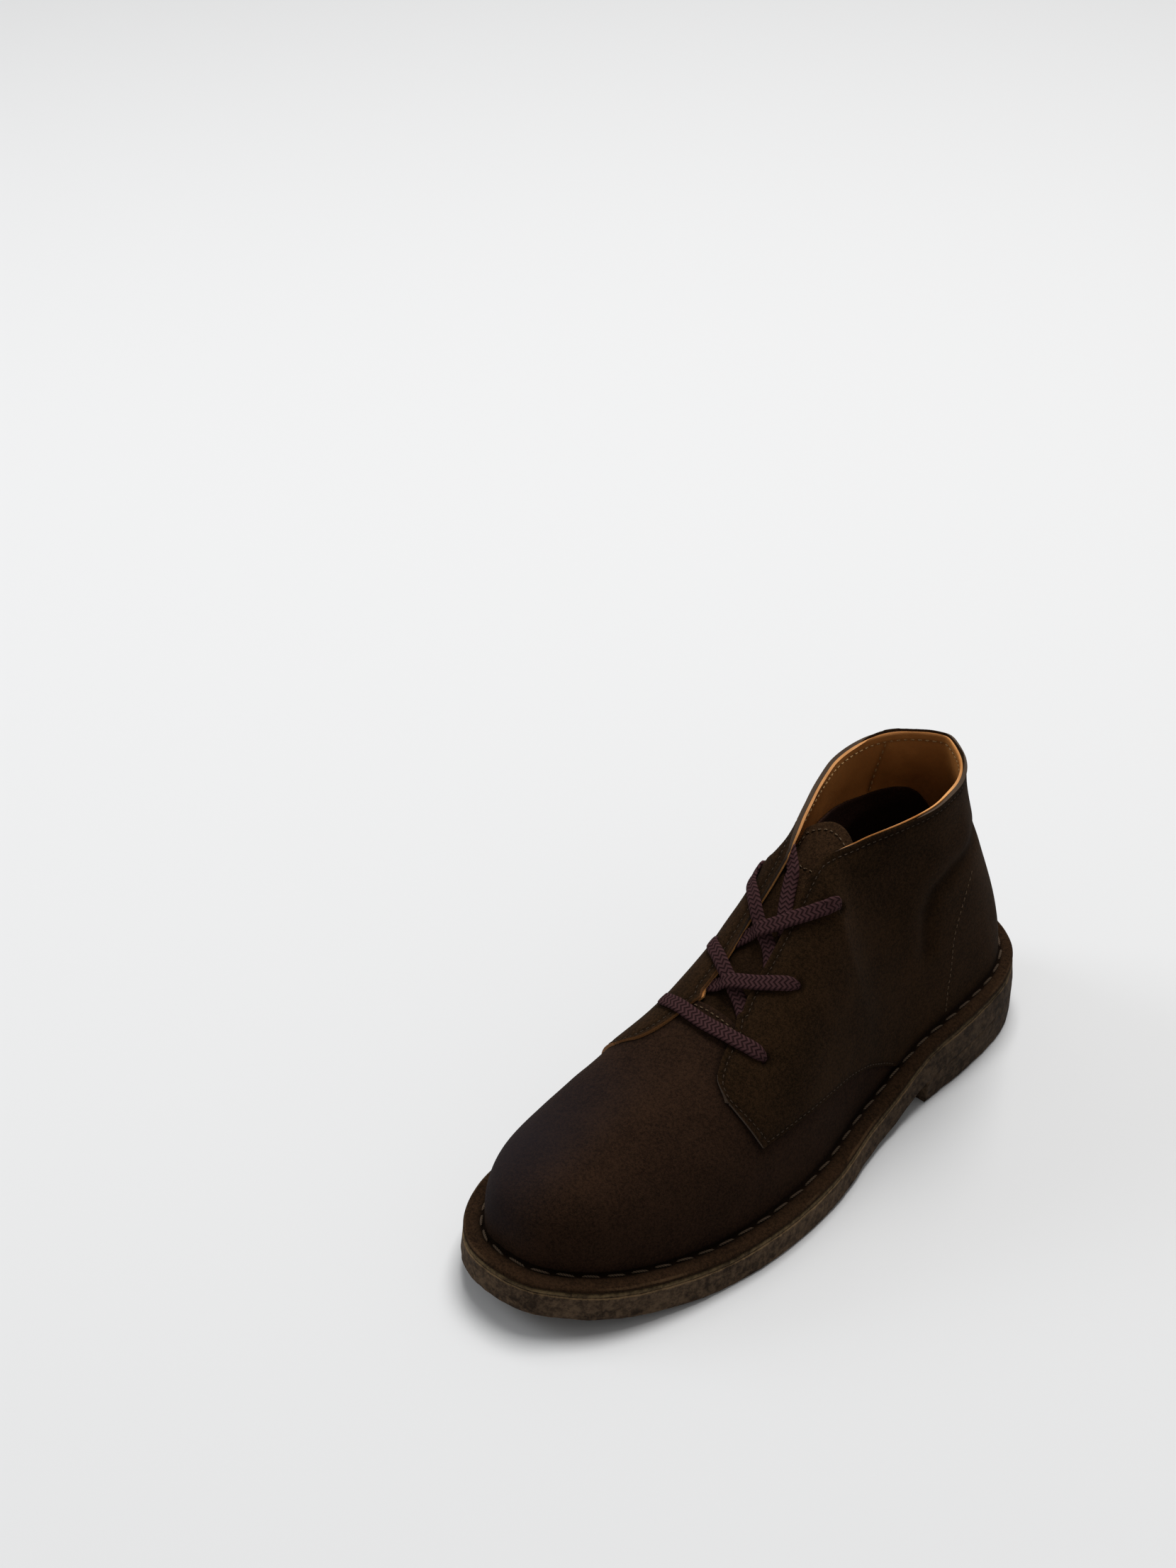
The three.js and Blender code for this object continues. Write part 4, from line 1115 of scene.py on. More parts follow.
@dataclass
class Upper:
    """Vamp, quarters, flange, lining and their stitches."""

    last: Last
    kit: Kit
    step: float = 1.3
    vamp_thickness: float = 2.0
    quarter_thickness: float = 1.7
    lining_thickness: float = 1.1
    panel_thickness: float = 0.7
    throat_foot: float = 181.5
    seam_inset: float = 2.7
    # share of the way from the heel at which the seam starts, and share of its inset at the low edge
    SEAM_START = 0.575
    LOW_INSET = 0.5
    # millimetres of a whole share and a whole rise, near enough for distances on the skin
    FLAT = (240.0, 105.0)
    # share and rise of the places of a crease's line, its half width and its depth, the ankle's first
    CREASES = (
        (((0.05, 0.665), (0.143, 0.655), (0.195, 0.625), (0.222, 0.56), (0.236, 0.48), (0.246, 0.39)),
         4.3, -1.8),
        (((0.1, 0.765), (0.18, 0.755), (0.24, 0.69), (0.262, 0.58)), 6.5, 0.75),
        (((0.74, 0.86), (0.7, 0.55)), 6.0, -0.35),
        (((0.77, 0.88), (0.735, 0.6)), 5.0, 0.25),
        (((0.82, 0.8), (0.8, 0.5)), 8.0, -0.25))

    # reach from the heel to the front, then share and rise of the low edge and of the top edge
    OUTER_EDGE = np.array([
        (0, 0, 0, 0, 1), (0.1, 0.018, 0, 0.016, 1), (0.25, 0.105, 0, 0.105, 1), (0.55, 0.33, 0, 0.35, 1),
        (0.63, 0.377, 0.10, 0.405, 0.999), (0.7, 0.424, 0.205, 0.455, 0.997),
        (0.82, 0.524, 0.376, 0.57, 0.995), (0.87, 0.568, 0.44, 0.612, 0.976),
        (0.92, 0.61, 0.487, 0.651, 0.96), (0.96, 0.64, 0.512, 0.676, 0.93), (1, 0.662, 0.525, 0.68, 0.86)])
    INNER_EDGE = np.array([
        (0, 0, 0, 0, 1), (0.1, 0.018, 0, 0.016, 1), (0.25, 0.105, 0, 0.105, 1), (0.55, 0.33, 0, 0.35, 1),
        (0.63, 0.377, 0.10, 0.405, 0.999), (0.7, 0.424, 0.205, 0.455, 0.998),
        (0.82, 0.53, 0.376, 0.575, 0.997), (0.87, 0.578, 0.44, 0.618, 0.988),
        (0.92, 0.622, 0.487, 0.66, 0.974), (0.96, 0.655, 0.512, 0.687, 0.945), (1, 0.68, 0.525, 0.695, 0.86)])
    # share of the way from the throat's top to its foot, its middle, its half width
    THROAT = np.array([(0, 0.019, 6.57), (0.35, 0.019, 6.57), (0.63, 0.019, 8.04), (0.9, 0.021, 8.84),
                       (1, 0.028, 10.45)])
    # along, in millimetres: where that way starts, and from where on the throat cuts the quarters
    THROAT_TOP = 108.0
    THROAT_START = 96.0
    # how far the lining's face lies within the last's surface
    LINING_FACE = 1.65
    # rise of the stitches under the collar's rim
    RIM_ROW = 0.972
    # share and rise of the top and the foot of the lining's upright seam
    BACK_SEAM = ((0.067, 0.97), (0.101, 0.735))
    PANEL_FOOT = 0.04
    # along and rise of the top edge of the dark panel inside
    PANEL_TOP = np.array([(0.0125, 0.4), (0.015, 0.607), (0.018, 0.645), (0.026, 0.697), (0.039, 0.724),
                          (0.062, 0.731), (0.1, 0.731), (0.161, 0.758), (0.256, 0.824), (0.36, 0.87)])
    # rise and share along of the vamp's back edge
    VAMP_BACK = np.array([(0, 0.29), (0.25, 0.40), (0.5, 0.5), (0.75, 0.56), (0.93, 0.60), (1.0, 0.605)])
    # share and rise of the lace holes
    HOLES = np.array([(0.597, 0.85), (0.5, 0.885), (0.393, 0.87)])
    # how deep the suede is drawn in at a hole, and how wide the dent and its spot of painted shade are
    HOLE_DENT = 1.5
    HOLE_REACH = 1.7
    HOLE_SHADE = 2.3
    # width, depth and strength of the painted shade of the groove in which the seam's stitches lie
    GROOVE = (1.1, 0.25, 0.62)
    # share and rise of the heel counter's row of stitches
    COUNTER = np.array([(0.103, 0.575), (0.127, 0.525), (0.159, 0.448), (0.19, 0.348), (0.208, 0.225),
                        (0.223, 0.118), (0.228, 0.03)])
    # the flange's rings: distance out from the feather line, height over the midsole, painted shade where the
    # flange meets the upper and under its edge, and how far they follow the quarters' step
    FLANGE_ROWS = np.array([
        (-2.6, 5.2, 1.0, 1), (-1.2, 4.6, 1.0, 1), (-0.35, 3.4, 1.0, 1), (0.25, 2.4, 1.0, 1),
        (0.8, 1.75, 1.0, 1), (1.6, 1.55, 0.9, 0.8), (2.3, 1.85, 0.45, 0.5), (3.2, 2.1, 0.12, 0.2),
        (4.4, 2.15, 0.0, 0), (5.6, 2.12, 0.0, 0), (6.8, 2.02, 0.0, 0), (7.6, 1.8, 0.05, 0),
        (8.15, 1.35, 0.15, 0), (8.4, 0.8, 0.2, 0), (8.35, 0.25, 0.3, 0), (8.0, 0.0, 0.5, 0),
        (4.0, 0.0, 1.0, 0)])
    # distance from the feather line beyond which a ring belongs to the flange's edge
    OUTER_RINGS = 7.0
    # the quarters' outer face and its unit normals, known once they are made
    skin: np.ndarray = field(init=False, repr=False)
    skin_out: np.ndarray = field(init=False, repr=False)

    def build(self) -> None:
        """Makes all pieces of the upper."""
        self.vamp()
        self.quarters()
        self.lining()
        self.inner_panels()
        self.flange()
        self.seams()

    def folds(self, points: np.ndarray, side: np.ndarray, share: np.ndarray, rise: np.ndarray) -> np.ndarray:
        """Height of the soft folds and dents over the smooth form.

        Args:
            points: places on the surface.
            side: OUTER or INNER.
            share: share of the way along.
            rise: share of the rise.

        Returns:
            Sum of smooth noise and of a few soft troughs and ridges, each exp(-(off / width)^2) at a distance
            off its line, and all of them weaker on the inner side.
        """
        push = 0.35 * lattice_noise(points, 34, 11) + 0.18 * lattice_noise(points, 13, 12)
        strength = np.where(np.asarray(side) > 0, 1.0, 0.6)
        for line, width, depth in self.CREASES:
            push = push + strength * depth * np.exp(-((self.off_line(share, rise, line) / width) ** 2))
        return push * smooth(rise, 0.0, 0.12)

    def off_line(self, share: np.ndarray, rise: np.ndarray,
                 line: tuple[tuple[float, float], ...]) -> np.ndarray:
        """Distance from places to a line, in the plane of shares and rises as millimetres.

        Args:
            share: shares of the places.
            rise: their rises.
            line: share and rise of the ends of its straight pieces.

        Returns:
            The least distance to a piece of the line.
        """
        scale = np.array(self.FLAT)
        here = np.stack([share, rise], -1) * scale
        places = np.array(line) * scale
        best = np.full(here.shape[:-1], FAR)
        for start, end in zip(places[:-1], places[1:]):
            axis = end - start
            t = np.clip(((here - start) @ axis) / (axis @ axis), 0, 1)
            best = np.minimum(best, np.linalg.norm(here - start - t[..., None] * axis, axis=-1))
        return best

    def vamp(self) -> None:
        """The vamp: a skin over the toe and the instep, from under one quarter to under the other."""
        last = self.last
        rows = 90
        columns = 150
        v = np.linspace(0, 1, rows)
        rise = np.sin(np.pi / 2 * v)[:, None]
        back = monotone(self.VAMP_BACK[:, 0], self.VAMP_BACK[:, 1], rise[:, 0])[:, None]
        t = np.linspace(0, 1, columns)[None]
        spread = np.sin(np.pi / 2 * t)
        share = back + (1 - back) * (0.35 * t + 0.65 * spread)
        one = last.place(OUTER, share, rise)
        two = last.place(INNER, share, rise)
        points = np.concatenate([one, two[:, ::-1][:, 1:]], 1)
        half = np.broadcast_to(share, one.shape[:2])
        shares = np.concatenate([half, half[:, ::-1][:, 1:]], 1)
        rises = np.broadcast_to(rise, shares.shape)
        sides = np.where(np.arange(shares.shape[1])[None] < columns, OUTER, INNER) + 0 * shares
        normals = -grid_normals(points)
        ridge = smooth(rises, 0.97, 1.0)
        points = points + normals * (self.folds(points, sides, shares, rises) * (1 - ridge))[..., None]
        # painted bluish sheen on the toe's inner side; the same place also gets a little painted shade below
        cool = smooth(shares, 0.66, 0.94) * smooth(rises, 0.1, 0.6) * smooth(-points[..., 0], -10, 28)
        # painted shade at the vamp's foot by the flange and under the quarters' edges
        dark = 0.9 * np.exp(-((rises / 0.03) ** 2)) + 0.2 * cool
        dark = np.maximum(dark, 0.7 * np.exp(-((self.seam_gap(sides, shares, rises) / 1.9) ** 2)))
        wear = 0.12 * smooth(lattice_noise(points, 22, 31), 0.1, 0.8)
        sheet = Sheet("vamp_suede")
        sheet.grid(points, flip=True, dark=dark, wear=wear, cool=cool)
        piece = sheet.build(merge=0.05)
        wall(piece, self.vamp_thickness, 0.25)
        self.kit.dress(piece, Slot.SUEDE, SUEDE, stands_for=("upper",))

    def seam_gap(self, side: np.ndarray, share: np.ndarray, rise: np.ndarray) -> np.ndarray:
        """Distance from places of the vamp to the edges of the quarters that lie over it.

        Args:
            side: OUTER or INNER.
            share: share of the way along.
            rise: share of the rise.

        Returns:
            The least distance to sixty places of the low edge, and twenty of the front and of the top edge.
        """
        best = np.full(share.shape, FAR)
        here = self.last.place(side, share, rise)
        for which in (OUTER, INNER):
            low_along, low_rise, top_along, top_rise = self.edge_at(which, np.linspace(0.55, 1, 60))
            front_share, front_rise = self.quarter_place(which, np.ones(20), np.linspace(0, 1, 20))
            shares = np.concatenate([low_along, front_share, top_along[-20:][::-1]])
            rises = np.concatenate([low_rise, front_rise, top_rise[-20:][::-1]])
            for point in self.last.place(which, shares, rises):
                best = np.minimum(best, np.linalg.norm(here - point, axis=-1))
        return best

    def edge_at(self, side: int, reach: np.ndarray) -> tuple[np.ndarray, ...]:
        """Low and top edge of a quarter at a reach: along and rise of each."""
        table = self.OUTER_EDGE if side == OUTER else self.INNER_EDGE
        return tuple(monotone(table[:, 0], table[:, c], reach) for c in range(1, 5))

    def quarter_place(self, side: int, reach: np.ndarray, up: np.ndarray) -> Pair:
        """Share and rise of places of a quarter.

        Args:
            side: OUTER or INNER.
            reach: from 0 at the heel to 1 at the front.
            up: from 0 at the low edge to 1 at the top edge.

        Returns:
            Shares, and rises that are even in the arch's angle.
        """
        low_along, low_rise, top_along, top_rise = self.edge_at(side, reach)
        share = low_along + (top_along - low_along) * up
        low = np.arcsin(np.clip(low_rise, 0, 1))
        high = np.arcsin(np.clip(top_rise, 0, 1))
        return share, np.sin(low + (high - low) * up)

    def follow(self, side: int | np.ndarray, share: np.ndarray, rise: np.ndarray, lift: float) -> Pair:
        """Points and unit normals of a line on the surface, lifted off it."""
        normals = self.last.normal(side, share, rise)
        return self.last.place(side, share, rise) + normals * lift, normals

    def throat_limit(self, side: int, reach: np.ndarray) -> np.ndarray:
        """How far up a quarter goes at each reach before the throat cuts it, by halving.

        Args:
            side: OUTER or INNER.
            reach: the quarter's reaches.

        Returns:
            Shares of the way from the low to the top edge, 1 where the throat doesn't cut.
        """
        last = self.last
        low = np.zeros_like(reach)
        high = np.ones_like(reach)
        cut = np.zeros(reach.shape, bool)
        for turn in range(last.HALVINGS + 2):
            up = high if turn == 0 else (low + high) / 2
            point = last.place(side, *self.quarter_place(side, reach, up))
            s = last.LENGTH / 2 - point[:, 1]
            t = (s - self.THROAT_TOP) / (self.throat_foot - self.THROAT_TOP)
            middle = monotone(self.THROAT[:, 0], self.THROAT[:, 1], t) * last.BALL - last.middle
            half = monotone(self.THROAT[:, 0], self.THROAT[:, 2], t)
            inside = (np.abs(point[:, 0] - middle) < half) & (t < 1.0) & (s > self.THROAT_START)
            if turn == 0:
                cut = inside
                continue
            high = np.where(inside, up, high)
            low = np.where(inside, low, up)
        return np.where(cut, high, 1.0)

    def quarter_grid(self, columns: int, rows: int) -> tuple[np.ndarray, ...]:
        """Grid of both quarters, from the outer front round the heel to the inner front.

        Args:
            columns: points from the heel to one front.
            rows: points from the low to the top edge.

        Returns:
            Points, side, share, rise and the way up from 0 to 1.
        """
        reach = np.linspace(0, 1, columns) ** 2
        up = np.linspace(0, 1, rows)[:, None]
        parts = []
        for side in (OUTER, INNER):
            share, rise = self.quarter_place(side, reach[None], up * self.throat_limit(side, reach)[None])
            parts.append((self.last.place(side, share, rise), np.full(share.shape, float(side)), share, rise))
        joined = [np.concatenate([one[:, ::-1], two[:, 1:]], 1) for one, two in zip(*parts)]
        return (*joined, np.broadcast_to(up, joined[1].shape))

    def hole_points(self) -> np.ndarray:
        """Centres of the lace holes, the outer side's three and then the inner side's."""
        along, rise = self.HOLES.T
        return np.vstack([self.last.place(side, along, rise) for side in (OUTER, INNER)])

    def quarters(self) -> None:
        """Both quarters as one suede piece round the heel, standing proud of the vamp by the step."""
        points, side, share, rise, up = self.quarter_grid(190, 90)
        normals = grid_normals(points)
        push = self.folds(points, side, share, rise)
        lift = self.step + push * smooth(1 - up, 0, 0.06)
        moved = points + normals * lift[..., None]
        # painted shade at the quarters' foot by the flange
        dark = 0.85 * np.exp(-((rise / 0.03) ** 2))
        wear = 0.12 * smooth(lattice_noise(points, 18, 32), 0.2, 0.9)
        wear = np.maximum(wear, 0.3 * smooth(up, 0.985, 1.0))
        for centre in self.hole_points():
            gap = np.linalg.norm(points - centre, axis=-1)
            moved = moved - normals * (self.HOLE_DENT * np.exp(-((gap / self.HOLE_REACH) ** 4)))[..., None]
            # painted shade in the lace holes
            dark = np.maximum(dark, np.exp(-((gap / self.HOLE_SHADE) ** 4)))
        # painted shade in the ankle crease
        off = self.off_line(share, rise, self.CREASES[0][0])
        dark = np.maximum(dark, np.where(side > 0, 0.5, 0.2) * np.exp(-((off / 3.4) ** 2)))
        self.skin = moved
        self.skin_out = normals
        width, depth, shade = self.GROOVE
        for which in (OUTER, INNER):
            line, _ = self.edge_line(*self.half_skin(which), self.seam_inset)
            gap = np.full(share.shape, FAR)
            for point in line:
                gap = np.minimum(gap, np.linalg.norm(moved - point, axis=-1))
            groove = np.exp(-((gap / width) ** 2))
            # painted shade in the seam's groove
            dark = np.maximum(dark, shade * groove)
            self.skin = self.skin - normals * (depth * groove)[..., None]
        sheet = Sheet("quarter_suede")
        sheet.grid(self.skin, dark=dark, wear=wear)
        piece = sheet.build(merge=0.03)
        wall(piece, self.quarter_thickness, 0.3, edge=1)
        self.kit.dress(piece, Slot.SUEDE, QUARTER_SUEDE, CUT_EDGE)

    def lining(self) -> None:
        """Tan leather inside the quarters, with its raw edge at the collar."""
        points, side, share, rise, up = self.quarter_grid(160, 70)
        normals = grid_normals(points)
        ruffle = 0.5 * lattice_noise(points, 22, 51) * smooth(1 - up, 0.02, 0.2)
        push = self.folds(points, side, share, rise) * smooth(1 - up, 0, 0.06)
        moved = points - normals * (0.5 - ruffle * 0.5 - push)[..., None]
        # painted shade: darker lower down inside the boot and on the inner side, in the rim's stitch groove,
        # in soft folds and along the back seam; the first noise is random tone
        dark = 0.3 * smooth(1 - rise, 0.45, 0.95) + 0.2 * smooth(lattice_noise(points, 16, 52), 0.1, 0.9)
        dark = dark + np.where(side < 0, 0.34, 0.0) * smooth(share, 0.03, 0.2)
        groove = 0.6 * np.exp(-(((rise - self.RIM_ROW) * self.FLAT[1] / 0.7) ** 2))
        dark = np.maximum(dark, groove * (1 - smooth(share, 0.33, 0.36)))
        fold = lattice_noise(points * [1.0, 1.0, 0.3], 11, 53)
        dark = dark + 0.2 * smooth(fold, 0.25, 0.8)
        off = self.off_line(share, rise, self.BACK_SEAM)
        dark = np.maximum(dark, np.where(side < 0, 0.7, 0.0) * np.exp(-((off / 1.3) ** 2)))
        sheet = Sheet("quarter_lining")
        sheet.grid(moved, dark=dark)
        piece = sheet.build(merge=0.03)
        wall(piece, self.lining_thickness, 0.3, edge=1)
        self.kit.dress(piece, Slot.MIDSOLE, LINING, RAW_EDGE)
        self.lining_seams()

    def lining_seams(self) -> None:
        """Stitches on the lining: a row under the rim and the upright seam behind the inner side."""
        count = 120
        front = 0.33
        share = np.concatenate([np.linspace(front, 0, count), np.linspace(0, front, count)[1:]])
        side = np.where(np.arange(len(share)) < count, OUTER, INNER)
        rim = self.inside_line(side, share, np.full(len(share), self.RIM_ROW))
        seam = self.inside_line(np.full(60, INNER), *np.linspace(*self.BACK_SEAM, 60).T)
        for word, (line, inward) in (("rim", rim), ("back", seam)):
            self.kit.sew(f"lining_{word}_stitches", line, inward, LINING_STITCH)

    def inside_line(self, side: np.ndarray, share: np.ndarray, rise: np.ndarray) -> Pair:
        """A line on the lining's face.

        Args:
            side: OUTER or INNER.
            share: share of the way along.
            rise: share of the rise.

        Returns:
            Its points and the unit vectors into the boot, which are taken a little off the back and the rim.
        """
        inward = -self.last.normal(side, np.maximum(share, 0.012), np.minimum(rise, 0.95))
        return self.last.place(side, share, rise) + inward * self.LINING_FACE, inward

    def inner_panels(self) -> None:
        """Dark suede below the collar's lining, on both sides of the tan strip at the heel."""
        table = self.PANEL_TOP
        sheet = Sheet("inner_suede")
        across = np.linspace(0, 1, 90)[None]
        share = table[0, 0] + (table[-1, 0] - table[0, 0]) * across ** 2
        top = monotone(table[:, 0], table[:, 1], share)
        rise = self.PANEL_FOOT + (top - self.PANEL_FOOT) * np.linspace(0, 1, 44)[:, None]
        for side in (OUTER, INNER):
            points = self.last.place(side, share, rise)
            out = grid_normals(points) * -side
            push = self.folds(points, side, np.broadcast_to(share, rise.shape), rise)
            inside = points - out * (self.LINING_FACE + 0.6 - push)[..., None]
            edge = smooth(rise / top, 0.985, 1.0)
            sheet.grid(inside, flip=side == OUTER, dark=0.25 * (1 - edge), wear=0.3 * edge)
        piece = sheet.build(merge=0.03)
        wall(piece, self.panel_thickness, 0.2)
        self.kit.dress(piece, Slot.SUEDE, INNER_SUEDE)

    def flange(self) -> None:
        """The upper's foot turned out over the midsole, with the stitch groove along it."""
        last = self.last
        share = (last.feather[:, 1] - last.back) / (last.front - last.back)
        proud = self.step * (1 - smooth(share, 0.30, 0.36))
        width = np.linalg.norm(last.outline - last.feather, axis=1)
        base = last.midsole_top(last.outline[:, 1]) + last.SEAT
        rows = []
        for distance, height, _, follow in self.FLANGE_ROWS:
            # the outer rings keep their distance from the flange's own edge
            if distance > self.OUTER_RINGS:
                d = distance - last.FLANGE + width
            else:
                d = distance + proud * follow
            rows.append(last.raised(last.feather + last.out * d[:, None], base + height))
        points = np.stack(rows)
        distance, height, dark, _ = self.FLANGE_ROWS.T[..., None]
        wear = np.where((distance > 7.3) & (distance < 8.3) & (height > 1), 0.5, 0.0)
        ripple = 0.22 * lattice_noise(points, 12, 21) + 0.12 * lattice_noise(points, 4, 22)
        points[..., 2] += ripple * (points[..., 2] - base > 1.0)
        sheet = Sheet("flange_suede")
        patchy = smooth(lattice_noise(points, 15, 23), -0.2, 0.7)
        # the rows' painted shade, darkest where the flange meets the upper and under the flange's edge
        sheet.grid(points, around=True, dark=dark, wear=wear * (0.5 + 0.8 * patchy))
        piece = sheet.build()
        self.kit.dress(piece, Slot.SUEDE, FLANGE_SUEDE)
        line = last.raised(last.feather + last.out * (1.35 + proud * 0.8)[:, None], base + 1.75)
        line = np.vstack([line, line[:1]])
        up = np.broadcast_to(np.array([0.0, 0.0, 1.0]), line.shape)
        self.kit.sew("flange_stitches", line, up, FLANGE_STITCH, seed=8)

    def seams(self) -> None:
        """Fine stitches along the quarters' edges and the counter."""
        for side, word in ((OUTER, "outer"), (INNER, "inner")):
            line, normals = self.edge_line(*self.half_skin(side), self.seam_inset)
            self.kit.sew(f"{word}_seam_stitches", line, normals, SEAM_STITCH, seed=4 + side)
        self.counter_stitches()
        self.vamp_back_stitches()

    def half_skin(self, side: int) -> Pair:
        """Points and unit normals of one quarter's skin, up by reach from the heel."""
        half = self.skin.shape[1] // 2
        columns = slice(half, None, -1) if side == OUTER else slice(half, None)
        return self.skin[:, columns], self.skin_out[:, columns]

    def edge_line(self, points: np.ndarray, out: np.ndarray, inset: float) -> Pair:
        """A line set in from a quarter's lower, front and top edge.

        Args:
            points: the quarter's grid, up by reach from the heel.
            out: its unit normals.
            inset: distance from the edge.

        Returns:
            Points and unit normals of the line: along each edge the grid's cross lines are followed inwards
            by the inset, and places nearer than that to the next edge are left out.
        """
        both = np.concatenate([points, out], -1)
        to_front = walked(points[:, ::-1].transpose(1, 0, 2)).T[:, ::-1]
        up_front = walked(points[:, -1])
        clear = inset * 1.1
        low = self.set_in(both, inset * self.LOW_INSET)
        top = self.set_in(both[::-1], inset)
        front = self.set_in(both[:, ::-1].transpose(1, 0, 2), inset)
        columns = points.shape[1]
        seam = np.arange(columns) > int(columns * math.sqrt(self.SEAM_START))
        low = low[seam & (to_front[0] > clear)]
        front = front[(up_front > clear) & (up_front < up_front[-1] - clear)]
        top = top[to_front[-1] > clear][::-1]
        line = np.concatenate([low, front, top])
        return line[:, :3], unit(line[:, 3:])

    @staticmethod
    def set_in(grid: np.ndarray, inset: float) -> np.ndarray:
        """Values of a grid at a distance along its first axis.

        Args:
            grid: rows x columns x values, the first three values being points.
            inset: the distance.

        Returns:
            Columns x values.
        """
        run = walked(grid[..., :3])
        before = np.clip((run < inset).sum(0) - 1, 0, len(grid) - 2)
        column = np.arange(grid.shape[1])
        gap = run[before + 1, column] - run[before, column] + 1e-9
        share = np.clip((inset - run[before, column]) / gap, 0, 1)[:, None]
        return grid[before, column] * (1 - share) + grid[before + 1, column] * share

    def counter_stitches(self) -> None:
        """The curved row that holds the heel counter, on both sides."""
        t = np.linspace(0, 1, 80)
        run = np.linspace(0, 1, len(self.COUNTER))
        share, rise = (monotone(run, values, t) for values in self.COUNTER.T)
        for side, word in ((OUTER, "outer"), (INNER, "inner")):
            line, normals = self.follow(side, share, rise, self.step)
            line = line + normals * self.folds(line, side, share, rise)[:, None]
            self.kit.sew(f"{word}_counter_stitches", line, normals, COUNTER_STITCH)

    def vamp_back_stitches(self) -> None:
        """Two rows along the vamp's back edge, which hold the tongue."""
        half = 30
        lowest = 0.93
        rise = np.concatenate([np.linspace(lowest, 1, half), np.linspace(1, lowest, half)])
        side = np.where(np.arange(2 * half) < half, OUTER, INNER)
        back = monotone(self.VAMP_BACK[:, 0], self.VAMP_BACK[:, 1], rise)
        for word, gap in (("first", 0.008), ("second", 0.017)):
            line, normals = self.follow(side, back + gap, rise, 0.1)
            keep = np.r_[True, np.linalg.norm(np.diff(line, axis=0), axis=1) > 1e-6]
            self.kit.sew(f"vamp_back_stitches_{word}", line[keep], normals[keep], VAMP_STITCH)


